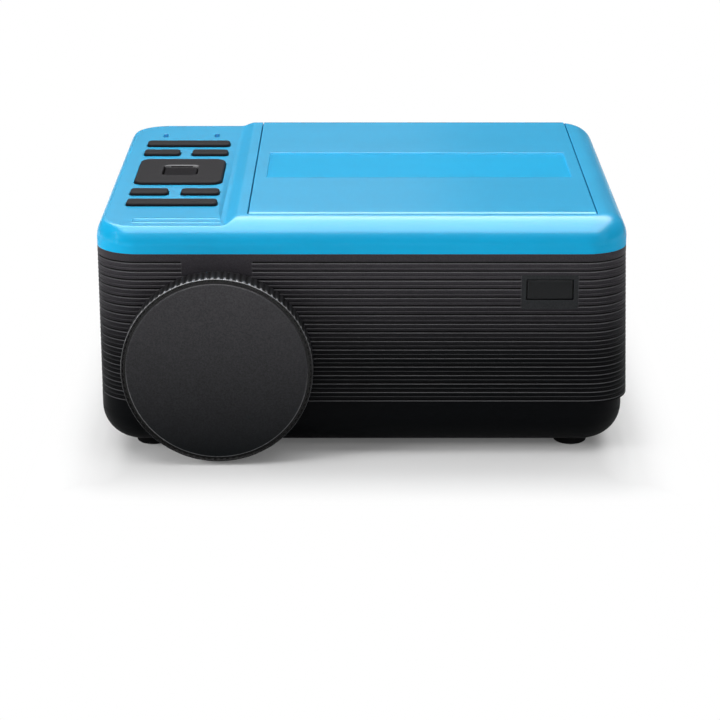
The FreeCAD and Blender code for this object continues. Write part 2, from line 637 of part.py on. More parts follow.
deck_left = cavity_left + s.slack
deck_right = right - s.topRound
deck_top = platform_under
deck_low = well_floor - s.deckSheet
well_outer = s.wellRadius + s.deckSheet
roll_clear = pivot_y + s.hingeRound + s.lidGap + s.slack
trough_top = boss_low - s.lidGap
front_wall_y = lid_front - s.lidGap - s.deckSheet - s.slack
deck_solids = [
    box("deck_sheet", (deck_left, roll_clear, deck_top - s.deckSheet),
        (deck_right, deck_end, deck_top)),
    rod("well_wall", (disc_x, disc_y, deck_low), "z", well_outer, deck_top - deck_low),
    box("deck_front_wall", (deck_left, front_wall_y, trough_top - s.deckSheet),
        (deck_right, front_wall_y + s.deckSheet, deck_top)),
    box("deck_trough", (deck_left, front_wall_y, trough_top - s.deckSheet),
        (deck_right, roll_clear + s.deckSheet, trough_top)),
    box("deck_step", (deck_left, roll_clear, trough_top - s.deckSheet),
        (deck_right, roll_clear + s.deckSheet, deck_top)),
    box("deck_rear_wall", (lid_left, deck_end - s.deckSheet, tail_z - s.lidGap - s.deckSheet),
        (lid_right, deck_end, deck_top)),
    box("deck_ledge", (lid_left, deck_end - s.deckSheet, tail_z - s.lidGap - s.deckSheet),
        (lid_right, inner_rear, tail_z - s.lidGap)),
    rod("plunger_guide", (plunger_x, plunger_y, guide_low), "z",
        s.plungerRadius + s.deckSheet, deck_top - guide_low)]
sled_y = disc_y - s.sledLensRadius
window_front = sled_y - s.sledTravel - s.objectiveRadius - s.seat
deck_holes = [
    rod("well", (disc_x, disc_y, well_floor), "z", s.wellRadius, deck_top),
    rod("spindle_hole", (disc_x, disc_y, deck_low - 1), "z", s.turntableRadius + s.seat,
        s.deckSheet + 2),
    box("pickup_window", (disc_x - s.objectiveRadius - s.wall, window_front, deck_low - 1),
        (disc_x + s.objectiveRadius + s.wall, disc_y, well_floor + 1)),
    rod("plunger_hole", (plunger_x, plunger_y, deck_low - 2), "z", s.plungerRadius + s.slip,
        deck_top)]
deck_limit = slab("deck_limit", 0, 0, s.bodyWidth - (s.wall + s.slack) * 2,
                  s.bodyDepth - (s.wall + s.slack) * 2, s.cornerRound - s.wall - s.slack,
                  seam - s.topRound, s.bodyTop)
piece("disc_deck", cut("disc_deck_cut", common("deck_trimmed", fuse("deck_solid", *deck_solids),
                                               deck_limit), *deck_holes))


# ---- disc mechanism --------------------------------------------------------------------------------

chassis_top = deck_low - s.damperHeight
chassis_low = chassis_top - s.chassisSheet
chassis_x = (disc_x - s.chassisWidth / 2, disc_x + s.chassisWidth / 2)
chassis_y = (disc_y - s.chassisFront, disc_y + s.chassisRear)
rod_z = chassis_low - s.rodDrop
screw_z = chassis_low - s.screwDrop
screw_x = disc_x - s.screwSpread
tab = s.wall * 2
rod_y = (chassis_y[0] + s.wall / 2, disc_y - s.slack)
screw_y = (chassis_y[0] + s.wall / 2, disc_y + s.chassisRear - s.sledMotorLength - s.wall)
chassis_tabs = []
for side in (-1, 1):
    x = disc_x + s.rodSpread * side
    for y in (chassis_y[0], rod_y[1] - s.wall):
        chassis_tabs.append(box("rod_tab", (x - tab / 2, y, rod_z - tab / 2),
                                (x + tab / 2, y + s.wall, chassis_top)))
for y in (chassis_y[0], screw_y[1] - s.wall):
    chassis_tabs.append(box("screw_tab", (screw_x - tab / 2, y, screw_z - tab / 2),
                            (screw_x + tab / 2, y + s.wall, chassis_top)))
chassis_holes = [
    box("sled_window", (disc_x - s.sledWidth / 2, chassis_y[0] + s.wall + s.seat, chassis_low - 1),
        (disc_x + s.sledWidth / 2, disc_y - s.motorRadius - s.seat, chassis_top + 1)),
    rod("motor_hole", (disc_x, disc_y, chassis_low - 1), "z", s.hubRadius, s.chassisSheet + 2),
    rod("sled_motor_room", (screw_x, screw_y[1], screw_z), "y", s.sledMotorRadius + s.slack,
        s.sledMotorLength + s.seat)]
for side in (-1, 1):
    chassis_holes.append(rod("rod_hole", (disc_x + s.rodSpread * side, rod_y[0], rod_z), "y",
                             s.rodRadius, rod_y[1] - rod_y[0]))
chassis_holes.append(rod("screw_hole", (screw_x, screw_y[0], screw_z), "y", s.screwRadius + s.slip,
                         screw_y[1] - screw_y[0]))
piece("traverse_chassis", cut("chassis_cut", fuse(
    "chassis_solid", box("chassis_sheet", (chassis_x[0], chassis_y[0], chassis_low),
                         (chassis_x[1], chassis_y[1], chassis_top)), *chassis_tabs),
    *chassis_holes))
damper_spots = [(x, y) for x in (chassis_x[0] + s.damperRadius, chassis_x[1] - s.damperRadius)
                for y in (disc_y - s.wellRadius / 2, chassis_y[1] - s.damperRadius)]
piece("traverse_dampers", fuse("traverse_dampers_fuse", *[
    rod("damper", (x, y, chassis_top), "z", s.damperRadius, s.damperHeight)
    for x, y in damper_spots]))
piece("guide_rods", fuse("guide_rods_fuse", *[
    rod("guide_rod", (disc_x + s.rodSpread * side, rod_y[0], rod_z), "y", s.rodRadius,
        rod_y[1] - rod_y[0]) for side in (-1, 1)]))
turntable_low = disc_seat - s.deckSheet
piece("spindle_motor", fuse(
    "spindle_motor_fuse",
    rod("motor_can", (disc_x, disc_y, chassis_low - s.motorHeight), "z", s.motorRadius,
        s.motorHeight),
    rod("motor_collar", (disc_x, disc_y, chassis_low - s.wall), "z", s.hubRadius - s.slack,
        s.chassisSheet + s.wall + s.damperHeight / 2),
    rod("motor_shaft", (disc_x, disc_y, chassis_low), "z", s.pinRadius,
        disc_seat - chassis_low)))
piece("turntable", turned("turntable_turn", "z", [
    (s.pinRadius + s.slip, turntable_low), (s.turntableRadius, turntable_low),
    (s.turntableRadius, disc_seat), (s.hubRadius, disc_seat),
    (s.hubRadius, disc_seat + s.hubHeight / 2), (s.hubRadius - 1, disc_seat + s.hubHeight),
    (0, disc_seat + s.hubHeight), (0, disc_seat + s.slack),
    (s.pinRadius + s.slip, disc_seat + s.slack)], disc_x, disc_y))
sled_rear = sled_y + s.motorRadius - s.slack * 5
sled_front = sled_rear - s.sledLength
sled_top = chassis_low - s.seat
piece("pickup_sled", cut("sled_cut", fuse(
    "sled_solid",
    box("sled_block", (disc_x - s.rodSpread - tab / 2, sled_front, sled_top - s.sledHeight),
        (disc_x + s.rodSpread + tab / 2, sled_rear, sled_top)),
    box("sled_follower", (screw_x - tab / 2, sled_front + s.wall, screw_z - tab / 2),
        (disc_x - s.rodSpread, sled_front + s.wall * 3, sled_top)),
    box("actuator", (disc_x - s.sledWidth / 4, sled_y - s.objectiveRadius * 2, sled_top - 1),
        (disc_x + s.sledWidth / 4, sled_y + s.objectiveRadius * 2, deck_low - s.seat * 2)),
    rod("objective", (disc_x, sled_y, deck_low - 1), "z", s.objectiveRadius, s.deckSheet + 1)),
    rod("screw_bore", (screw_x, sled_front, screw_z), "y", s.screwRadius + s.slip, s.sledLength),
    *[rod("rod_bore", (disc_x + s.rodSpread * side, sled_front - 1, rod_z), "y",
          s.rodRadius + s.slip, s.sledLength + 2) for side in (-1, 1)]))
piece("lead_screw", rod("lead_screw_rod", (screw_x, screw_y[0], screw_z), "y", s.screwRadius,
                        screw_y[1] - screw_y[0] + s.sledMotorLength / 2))
piece("sled_motor", cut("sled_motor_cut",
                        rod("sled_motor_can", (screw_x, screw_y[1], screw_z), "y",
                            s.sledMotorRadius, s.sledMotorLength),
                        rod("sled_motor_bore", (screw_x, screw_y[1] - 1, screw_z), "y",
                            s.screwRadius + s.slip, s.sledMotorLength / 2 + 1 + s.slack)))


# ---- keys ------------------------------------------------------------------------------------------

cap_top = panel_top + s.keyProud
rest_flange = panel_under - s.seat
rock_flange = panel_under - s.rockGap


def key_solid(name, flange_top, stem_low):
    """Key cap that passes through the cover, with a flange under it and a stem to its switch."""
    x, y, width, depth = key_plan(name)
    corner = key_corner(name)
    cap = slab(name + "_cap", x, y, width, depth, corner, flange_top - s.flange / 2, cap_top,
               round_high=s.keyGap)
    plate = slab(name + "_flange", x, y, width + s.flange * 2, depth + s.flange, corner,
                 flange_top - s.flange, flange_top)
    stem = box(name + "_stem", (x - s.flange, y - s.flange, stem_low),
               (x + s.flange, y + s.flange, flange_top))
    return fuse(name + "_fuse", cap, plate, stem)


for name in ("front_left_key", "front_right_key", "rear_left_key", "rear_right_key"):
    piece(name, key_solid(name, rest_flange, switch_top + s.keyTravel + s.slack))
for name in ("front_bar_key", "rear_bar_key"):
    piece(name, key_solid(name, rock_flange, key_board_top + s.seat))

ok_hole = s.okSide + s.okGap * 2
pad_flange = rock_flange
pad_x, pad_y, pad_width, pad_depth = key_plan("navigation_pad")
navigation_pad = cut("navigation_pad_cut", fuse(
    "navigation_pad_solid",
    slab("pad_cap", pad_x, pad_y, pad_width, pad_depth, s.padRound, pad_flange - s.flange / 2,
         cap_top, round_high=s.keyGap),
    slab("pad_flange", pad_x, pad_y, pad_width + s.flange * 2, pad_depth + s.flange * 2,
         s.padRound, pad_flange - s.flange, pad_flange)),
    slab("ok_hole", pad_x, pad_y, ok_hole, ok_hole, s.keyRound, pad_flange - s.flange * 2,
         cap_top + 1))
piece("navigation_pad", navigation_pad)
piece("ok_key", slab("ok_cap", pad_x, pad_y, s.okSide, s.okSide, s.keyRound,
                     switch_top + s.keyTravel + s.slack, cap_top - s.okDrop,
                     round_high=s.keyGap))
piece("control_board", cut(
    "control_board_cut",
    box("control_board_sheet", (key_board_x[0], key_board_y[0], key_board_top - s.boardSheet),
        (key_board_x[1], key_board_y[1], key_board_top)),
    *[rod("fixing_hole", (x, y, key_board_top - s.boardSheet - 1), "z", s.screwShank,
          s.boardSheet + 2) for x in (key_board_x[0] + s.wall, key_board_x[1] - s.wall)
      for y in (key_board_y[0] + s.wall, key_board_y[1] - s.wall)]))
half = s.switchSide / 2
switch_spots = [key_plan(name)[:2] for name in
                ("front_left_key", "front_right_key", "rear_left_key", "rear_right_key")]
switch_spots += [(key_x, key_y)]
switch_spots += [(key_x + s.keyField / 3 * side, key_y + s.barReach * end)
                 for side in (-1, 1) for end in (-1, 1)]
switch_spots += [(key_x + (s.keyField / 2 - half) * side, key_y) for side in (-1, 1)]
switch_spots += [(key_x, key_y + (s.padDepth / 2 - half) * side) for side in (-1, 1)]
piece("tact_switches", fuse("tact_switches_fuse", *[
    part for x, y in switch_spots for part in (
        box("switch_body", (x - half, y - half, key_board_top),
            (x + half, y + half, switch_top - s.flange)),
        rod("switch_button", (x, y, switch_top - s.flange), "z", s.pinRadius * 1.5, s.flange))]))
piece("indicator_lights", fuse("indicator_lights_fuse", *[
    box("light_guide", (x - s.lightWidth / 2, y - s.lightDepth / 2, key_board_top),
        (x + s.lightWidth / 2, y + s.lightDepth / 2, panel_top)) for x, y in light_spots]))
pivot_inner = s.okSide * 0.7
pivot_low = key_board_top + s.seat + s.slack * 2
pivot_high = pad_flange - s.flange - s.seat - s.slack * 2
piece("pad_pivot", turned("pad_pivot_turn", "z", [
    (pivot_inner, pivot_low), (pivot_inner + s.ringRim, pivot_low),
    (pivot_inner + s.ringRim, pivot_high), (pivot_inner, pivot_high)], pad_x, pad_y))


# ---- focus ring, cap and lens barrel ---------------------------------------------------------------

def lens_piece(name, outline):
    """Piece turned about the optical axis; its outline is (radius, depth behind the cap's face)."""
    return turned(name, "y", [(radius, cap_plane + depth) for radius, depth in outline],
                  lens_x, 0, lens_z)


rim_inner = s.ringRadius - s.ringRim
hub_inner = s.hubOuter - s.hubWall
ring_back = s.ringReach - s.ringGap
web_front = ring_back - s.ringSheet
hub_end = s.ringReach + s.wall + s.hubInside
ring_blank = lens_piece("ring_blank", [
    (rim_inner, 0), (s.ringRadius - s.fluteDepth, 0), (s.ringRadius, s.fluteDepth),
    (s.ringRadius, ring_back), (s.hubOuter, ring_back), (s.hubOuter, hub_end),
    (hub_inner, hub_end), (hub_inner, web_front), (rim_inner, web_front)])


def fluted(blank):
    """Cut the grip flutes round the focus ring."""
    sketch = sketch_on(blank, "xz", -(cap_plane - 1))
    circle(sketch, 0, s.ringRadius + s.fluteCutter - s.fluteDepth, s.fluteCutter)
    first = pocket(blank, sketch, ring_back + 2)
    turn = blank.newObject("PartDesign::PolarPattern", "flutes")
    turn.Originals = [first]
    turn.Axis = (sketch, ["N_Axis"])
    turn.Angle = 360
    bind(turn, "Occurrences", s.fluteCount)
    blank.Tip = turn
    return blank


piece("focus_ring", fluted(ring_blank))
retainer_depth = s.ringReach + s.wall + s.seat
piece("ring_retainer", lens_piece("retainer_blank", [
    (s.hubOuter, retainer_depth), (s.hubOuter + s.retainerWidth, retainer_depth),
    (s.hubOuter + s.retainerWidth, retainer_depth + s.ringRim),
    (s.hubOuter, retainer_depth + s.ringRim)]))
cap_radius = rim_inner - s.slack
piece("lens_cap", lens_piece("cap_blank", [
    (0, 0), (cap_radius - s.seat, 0), (cap_radius, s.seat), (cap_radius, s.capSkirt),
    (cap_radius - s.capWall, s.capSkirt), (cap_radius - s.capWall, s.capSheet),
    (0, s.capSheet)]))

barrel_front = s.barrelClear + s.focusTravel
barrel_rear = barrel_front + s.barrelLength
barrel_inner = s.barrelRadius - s.barrelWall
step = s.barrelWall / 2
front_seat = barrel_front + s.wall * 4
rear_seat = barrel_rear - s.wall * 4
piece("lens_barrel", lens_piece("barrel_blank", [
    (s.barrelRadius, barrel_front), (s.barrelRadius, barrel_rear),
    (barrel_inner, barrel_rear), (barrel_inner, rear_seat),
    (barrel_inner - step * 2, rear_seat), (barrel_inner - step * 2, front_seat),
    (barrel_inner, front_seat), (barrel_inner, barrel_front)]))
glass = s.wall * 2


def lens_solid(name, radius, rim_front, thick, bulge):
    """Lens with faceted domes on both faces inside a flat rim."""
    edge = radius - s.barrelWall - s.slack
    return lens_piece(name, [
        (0, rim_front - bulge), (edge / 2, rim_front - bulge * 0.75), (edge, rim_front),
        (radius, rim_front), (radius, rim_front + thick), (edge, rim_front + thick),
        (edge / 2, rim_front + thick + bulge * 0.75), (0, rim_front + thick + bulge)])


front_radius = barrel_inner - s.slip
piece("front_lens", lens_solid("front_glass", front_radius, front_seat - glass, glass, s.wall))
piece("rear_lens", lens_solid("rear_glass", front_radius, rear_seat, glass, s.wall))
piece("lens_retainer", lens_piece("lens_retainer_blank", [
    (front_radius - s.barrelWall, front_seat - glass - s.ringRim),
    (front_radius, front_seat - glass - s.ringRim), (front_radius, front_seat - glass),
    (front_radius - step, front_seat - glass)]))


# ---- light engine ----------------------------------------------------------------------------------

def engine_box(name, y, thick, inset):
    """Upright plate inside the light engine, centred on the optical axis."""
    half_width = s.engineWidth / 2 - s.engineWall - inset
    half_height = s.engineHeight / 2 - s.engineWall - inset
    return box(name, (lens_x - half_width, y, lens_z - half_height),
               (lens_x + half_width, y + thick, lens_z + half_height))


guide_radius = s.barrelRadius + s.slip
engine_shell = fuse(
    "engine_solid",
    box("engine_block", (lens_x - s.engineWidth / 2, engine_front, lens_z - s.engineHeight / 2),
        (lens_x + s.engineWidth / 2, engine_rear, lens_z + s.engineHeight / 2)),
    rod("guide_tube", (lens_x, engine_front - s.guideLength, lens_z), "y",
        guide_radius + s.guideWall, s.guideLength + s.engineWall),
    *[box("engine_foot", (lens_x + (s.engineWidth / 2 - s.footRadius * 2) * side - s.wall,
                          y, floor),
          (lens_x + (s.engineWidth / 2 - s.footRadius * 2) * side + s.wall,
           y + s.wall * 2, lens_z - s.engineHeight / 2 + s.engineWall))
      for side in (-1, 1) for y in (engine_front + s.wall, engine_rear - s.cornerRound * 2)])
piece("optical_box", cut(
    "optical_box_cut", engine_shell,
    box("engine_room", (lens_x - s.engineWidth / 2 + s.engineWall, engine_front + s.engineWall,
                        lens_z - s.engineHeight / 2 + s.engineWall),
        (lens_x + s.engineWidth / 2 - s.engineWall, engine_rear + 1,
         lens_z + s.engineHeight / 2 - s.engineWall)),
    rod("barrel_bore", (lens_x, engine_front - s.guideLength - 1, lens_z), "y", guide_radius,
        s.guideLength + s.engineWall + 2)))
panel_y = s.panelRear
front_fresnel_y = panel_y - s.fieldGap - s.fresnelSheet
rear_fresnel_y = panel_y + s.panelSheet + s.fieldGap
condenser_y = rear_fresnel_y + s.fresnelSheet + s.fieldGap
piece("lcd_panel", engine_box("lcd_panel_sheet", panel_y, s.panelSheet, s.slack))
piece("fresnel_lenses", fuse("fresnel_fuse",
                             engine_box("front_fresnel", front_fresnel_y, s.fresnelSheet, s.slack),
                             engine_box("rear_fresnel", rear_fresnel_y, s.fresnelSheet, s.slack)))
piece("condenser_holder", cut(
    "condenser_holder_cut", engine_box("holder_sheet", condenser_y, s.fresnelSheet, s.slack),
    rod("holder_bore", (lens_x, condenser_y - 1, lens_z), "y", s.condenserRadius,
        s.fresnelSheet + 2)))
piece("condenser_lens", turned("condenser_blank", "y", [
    (0, condenser_y), (s.condenserRadius, condenser_y),
    (s.condenserRadius, condenser_y + s.fresnelSheet),
    (s.condenserRadius * 0.8, condenser_y + s.condenserThick * 0.6),
    (s.condenserRadius * 0.45, condenser_y + s.condenserThick * 0.92),
    (0, condenser_y + s.condenserThick)], lens_x, 0, lens_z))
sink_low = lens_z - s.fanSide / 2
lamp_y = engine_rear
piece("lamp_board", fuse(
    "lamp_board_fuse",
    box("lamp_sheet", (lens_x - s.sinkWidth / 2, lamp_y, sink_low),
        (lens_x + s.sinkWidth / 2, lamp_y + s.lampSheet, sink_low + s.fanSide)),
    box("lamp_chip", (lens_x - s.footRadius, lamp_y - s.lampSheet, lens_z - s.footRadius),
        (lens_x + s.footRadius, lamp_y, lens_z + s.footRadius))))
sink_y = lamp_y + s.lampSheet
fin_pitch = (s.sinkWidth - s.finSheet) / (s.finCount - 1)
piece("heat_sink", fuse(
    "heat_sink_fuse",
    box("sink_base", (lens_x - s.sinkWidth / 2, sink_y, sink_low),
        (lens_x + s.sinkWidth / 2, sink_y + s.wall, sink_low + s.fanSide)),
    *[box("sink_fin", (lens_x - s.sinkWidth / 2 + fin_pitch * i, sink_y, sink_low),
          (lens_x - s.sinkWidth / 2 + fin_pitch * i + s.finSheet, sink_y + s.sinkDepth,
           sink_low + s.fanSide)) for i in range(int(s.finCount.value))]))

strut = s.wall
fan_x = (lens_x - s.fanSide / 2, lens_x + s.fanSide / 2)
piece("fan_frame", fuse(
    "fan_frame_fuse",
    cut("fan_frame_ring",
        box("fan_frame_block", (fan_x[0], fan_y[0], sink_low),
            (fan_x[1], fan_y[1], sink_low + s.fanSide)),
        rod("fan_bore", (lens_x, fan_y[0] - 1, lens_z), "y", s.fanRadius, s.fanDepth + 2)),
    rod("fan_motor", (lens_x, fan_y[1] - strut, lens_z), "y", s.fanHub, strut),
    rod("fan_spindle", (lens_x, fan_y[0] + strut, lens_z), "y", s.pinRadius,
        s.fanDepth - strut),
    box("fan_strut_level", (fan_x[0], fan_y[1] - strut, lens_z - strut / 2),
        (fan_x[1], fan_y[1], lens_z + strut / 2)),
    box("fan_strut_upright", (lens_x - strut / 2, fan_y[1] - strut, sink_low),
        (lens_x + strut / 2, fan_y[1], sink_low + s.fanSide))))
blade_depth = s.fanDepth - strut * 2
rotor_y = fan_y[0] + strut / 2


def fan_rotor():
    """Hub with pitched blades that sweep a clear circle inside the fan's frame."""
    blades = []
    count = int(s.fanBlades.value)
    for i in range(count):
        blade = doc.addObject("Part::Box", "fan_blade")
        bind(blade, "Length", s.fanRadius - s.fanHub / 2 - s.bladeGap)
        bind(blade, "Width", s.finSheet)
        bind(blade, "Height", blade_depth)
        turn = 2 * math.pi * i / count
        pitch = FreeCAD.Rotation(FreeCAD.Vector(1, 0, 0), s.bladePitch.value)
        spin = FreeCAD.Rotation(FreeCAD.Vector(0, 0, 1), math.degrees(turn))
        blade.Placement = FreeCAD.Placement(FreeCAD.Vector(), spin * pitch)
        move(blade, s.fanHub * (math.cos(turn) / 2), s.fanHub * (math.sin(turn) / 2),
             s.slack * 5)
        blades.append(blade)
    hub = rod("fan_hub", (0, 0, 0), "z", s.fanHub, blade_depth)
    bore = rod("fan_rotor_bore", (0, 0, strut / 2 - s.slack), "z", s.pinRadius + s.slip,
               blade_depth)
    whole = cut("fan_rotor_cut", fuse("fan_solid", hub, *blades), bore)
    whole.Placement = FreeCAD.Placement(FreeCAD.Vector(), ROTATION["y"])
    return move(whole, lens_x, rotor_y, lens_z)


piece("fan_rotor", fan_rotor())


# ---- windows, grille, feet and fixings -------------------------------------------------------------

piece("ir_window", fuse(
    "ir_window_fuse",
    box("ir_glass", (ir_x - s.irWidth / 2 + s.slack, front + s.slack,
                     ir_z - s.irHeight / 2 + s.slack),
        (ir_x + s.irWidth / 2 - s.slack, inner_front + s.flange,
         ir_z + s.irHeight / 2 - s.slack)),
    box("ir_flange", (ir_x - s.irWidth / 2 + s.slack, inner_front,
                      ir_z - s.irHeight / 2 - s.flange),
        (ir_x + s.irWidth / 2 - s.slack, inner_front + s.flange,
         ir_z + s.irHeight / 2 + s.flange))))
ir_half = ir_post_x + s.wall
piece("ir_receiver", fuse(
    "ir_receiver_fuse",
    box("ir_board", (ir_x - ir_half, ir_board_y, ir_z - s.irHeight / 2),
        (ir_x + ir_half, ir_board_y + s.boardSheet, ir_z + s.irHeight / 2)),
    box("ir_sensor", (ir_x - half, inner_front + s.flange + s.seat, ir_z - half),
        (ir_x + half, ir_board_y, ir_z + half))))


def side_grille():
    """Louvred side insert: flush at its top edge and proud at its foot, slotted between ribs."""
    span = grille_y * 2 - s.slack * 2
    wedge = prism("grille_wedge", "xz", -(grille_y - s.slack), span, [
        (right - s.grilleSunk, s.grilleLow + s.slack), (right + s.grilleProud, s.grilleLow + s.slack),
        (right + s.grilleProud, s.grilleLow + rib_pitch / 2), (right, grille_high - s.slack),
        (right - s.grilleSunk, grille_high - s.slack)])
    pitch_low = seam - s.ribFirst - rib_pitch * (s.ribCount - 1)
    windows = []
    for low, high in ((speaker_y - s.speakerRadius + s.slotMargin,
                       speaker_y + s.speakerRadius - s.slotMargin),
                      (-s.slotMargin + s.wall, grille_y - s.slotMargin - s.wall)):
        windows += slots("louvre", "x", right - s.grilleSunk - 1, s.grilleProud + s.grilleSunk + 2,
                         pitch_low + s.slotMargin + rib_pitch / 2, grille_high - s.slotMargin,
                         (low, high), rib_pitch, s.grilleSlot)
    return cut("side_grille_cut", wedge, *windows)


piece("side_grille", side_grille())
piece("rubber_feet", fuse("rubber_feet_fuse", *[
    part for x, y in foot_spots for part in (
        rod("foot", (x, y, 0), "z", s.footRadius, s.footHeight),
        rod("spigot", (x, y, 0), "z", s.spigotRadius, floor))]))
piece("housing_screws", fuse("housing_screws_fuse", *[
    part for x, y in post_spots for part in (
        rod("screw_head", (x, y, post_hole_top - s.screwHeadHeight), "z", s.screwHead,
            s.screwHeadHeight),
        rod("screw_shank", (x, y, post_hole_top - s.screwHeadHeight / 2), "z", s.screwShank,
            s.screwBelow + s.screwAbove + s.screwHeadHeight / 2))]))
piece("tripod_insert", turned("tripod_turn", "z", [
    (s.tripodBore, s.footHeight), (s.insertRadius, s.footHeight),
    (s.insertRadius, s.footHeight + s.insertLength),
    (s.tripodBore, s.footHeight + s.insertLength)]))


# ---- boards, sockets, inlet and speaker ------------------------------------------------------------

board_top = s.boardLevel + s.boardSheet
socket_y = (rear - s.portRecess - s.slack - s.socketDepth, rear - s.portRecess - s.slack)
socket_z = board_top
gap = (s.portWidth - s.hdmiWidth * 2 - s.usbWidth - s.cardWidth - s.jackRadius * 4) / 6
hdmi_x = [port_x[0] + gap + (s.hdmiWidth + gap) * i for i in range(2)]
usb_x = hdmi_x[1] + s.hdmiWidth + gap
card_x = usb_x + s.usbWidth + gap / 2
jack_x = [card_x + s.cardWidth + gap / 2 + s.jackRadius + (s.jackRadius * 2 + gap) * i
          for i in range(2)]
jack_z = socket_z + s.jackRadius


def socket_shell(name, x, width, height):
    """Metal socket, open to the rear, with its tongue inside."""
    sheet = s.slack * 4
    shell = box(name + "_block", (x, socket_y[0], socket_z),
                (x + width, socket_y[1], socket_z + height))
    mouth = box(name + "_mouth", (x + sheet, socket_y[0] + s.wall, socket_z + sheet),
                (x + width - sheet, socket_y[1] + 1, socket_z + height - sheet))
    tongue = box(name + "_tongue", (x + s.wall, socket_y[0], socket_z + height / 2 - s.slack * 4),
                 (x + width - s.wall, socket_y[1] - s.wall, socket_z + height / 2 + s.slack * 4))
    return fuse(name, cut(name + "_shell", shell, mouth), tongue)


piece("hdmi_sockets", fuse("hdmi_fuse", *[
    socket_shell("hdmi_socket", x, s.hdmiWidth, s.hdmiHeight) for x in hdmi_x]))
piece("usb_socket", socket_shell("usb", usb_x, s.usbWidth, s.usbHeight))
piece("card_slot", cut(
    "card_slot_cut", box("card_block", (card_x, socket_y[0], socket_z),
                         (card_x + s.cardWidth, socket_y[1], socket_z + s.cardHeight)),
    box("card_mouth", (card_x + s.flange, socket_y[0] + s.wall, socket_z + s.slack * 6),
        (card_x + s.cardWidth - s.flange, socket_y[1] + 1,
         socket_z + s.cardHeight - s.slack * 6))))
piece("audio_jacks", cut(
    "audio_jacks_cut", fuse("audio_jacks_fuse", *[
        part for x in jack_x for part in (
            rod("jack_barrel", (x, socket_y[0], jack_z), "y", s.jackRadius, s.socketDepth),
            box("jack_block", (x - s.jackRadius, socket_y[0], socket_z),
                (x + s.jackRadius, socket_y[1] - s.wall * 2, jack_z + s.jackRadius)))]),
    *[rod("jack_bore", (x, socket_y[1] - s.jackDepth + s.flange, jack_z), "y", s.jackBore,
          s.jackDepth) for x in jack_x]))
clear = s.slack * 2
port_holes = [box("port_gap", (x - clear, inner_rear - s.flange - 1, socket_z - clear),
                  (x + width + clear, rear, socket_z + height + clear))
              for x, width, height in ((hdmi_x[0], s.hdmiWidth, s.hdmiHeight),
                                       (hdmi_x[1], s.hdmiWidth, s.hdmiHeight),
                                       (usb_x, s.usbWidth, s.usbHeight),
                                       (card_x, s.cardWidth, s.cardHeight))]
port_holes += [rod("jack_gap", (x, inner_rear - s.flange - 1, jack_z), "y", s.jackRadius + clear,
                   s.wall + s.flange + 2) for x in jack_x]
piece("rear_port_panel", cut(
    "rear_port_panel_cut", fuse(
        "port_panel_solid",
        box("port_sheet", (port_x[0] + s.slack, inner_rear - s.flange, port_z + s.slack),
            (port_x[1] - s.slack, rear - s.portRecess, port_z + s.portHeight - s.slack)),
        box("port_flange", (port_x[0] + s.slack, inner_rear - s.flange, port_z + s.slack),
            (port_x[1] - s.slack, inner_rear, port_z + s.portHeight + s.wall))), *port_holes))
inlet_front = rear - s.inletDepth
piece("mains_inlet", fuse(
    "mains_inlet_fuse",
    cut("inlet_shell",
        box("inlet_block", (inlet_x - s.inletWidth / 2 + s.slack, inlet_front,
                            inlet_z - s.inletHeight / 2 + s.slack),
            (inlet_x + s.inletWidth / 2 - s.slack, rear - s.slack,
             inlet_z + s.inletHeight / 2 - s.slack)),
        *[rod("inlet_lobe", (inlet_x + s.inletPinSpread * side, inlet_front + s.wall, inlet_z),
              "y", s.inletLobe, s.inletDepth) for side in (-1, 1)]),
    *[rod("inlet_pin", (inlet_x + s.inletPinSpread * side, inlet_front, inlet_z), "y",
          s.inletPinRadius, s.inletDepth - s.wall) for side in (-1, 1)]))
piece("main_board", fuse(
    "main_board_fuse",
    box("main_sheet", (main_x[0], main_y[0], s.boardLevel), (main_x[1], main_y[1], board_top)),
    box("processor", (main_x[0] + s.cornerRound, main_y[0] + s.cornerRound, board_top),
        (main_x[0] + s.cornerRound * 2, main_y[0] + s.cornerRound * 2, board_top + s.wall)),
    box("memory_chip", (main_x[0] + s.cornerRound * 2.5, main_y[0] + s.cornerRound, board_top),
        (main_x[0] + s.cornerRound * 3.1, main_y[0] + s.cornerRound * 1.5, board_top + s.flange)),
    *[rod("board_capacitor", (main_x[1] - s.cornerRound, main_y[0] + s.cornerRound * (1 + i),
                              board_top), "z", s.jackRadius, s.cornerRound / 2) for i in range(3)]))
piece("power_board", fuse(
    "power_board_fuse",
    box("power_sheet", (power_x[0], power_y[0], s.boardLevel), (power_x[1], power_y[1], board_top)),
    box("transformer", (power_x[0] + s.cornerRound, power_y[0] + s.cornerRound / 2, board_top),
        (power_x[0] + s.cornerRound * 2.3, power_y[0] + s.cornerRound * 1.8,
         board_top + s.cornerRound)),
    rod("bulk_capacitor", (power_x[1] - s.cornerRound, power_y[0] + s.cornerRound, board_top), "z",
        s.cornerRound / 2, s.cornerRound * 1.3),
    box("power_sink", (power_x[0] + s.flange * 4, power_y[0] + s.flange * 4, board_top),
        (power_x[0] + s.flange * 6, power_y[1] - s.flange * 4, board_top + s.cornerRound))))
speaker_x = inner_right - s.speakerDepth
piece("speaker", fuse(
    "speaker_fuse",
    rod("speaker_frame", (inner_right - s.wall, speaker_y, s.speakerLevel), "x",
        s.speakerRadius, s.wall),
    rod("speaker_basket", (speaker_x + s.wall * 2, speaker_y, s.speakerLevel), "x",
        s.speakerRadius * 0.7, s.speakerDepth - s.wall * 3),
    rod("speaker_magnet", (speaker_x, speaker_y, s.speakerLevel), "x",
        s.speakerRadius / 2, s.wall * 2)))


# ---- checks and files ------------------------------------------------------------------------------

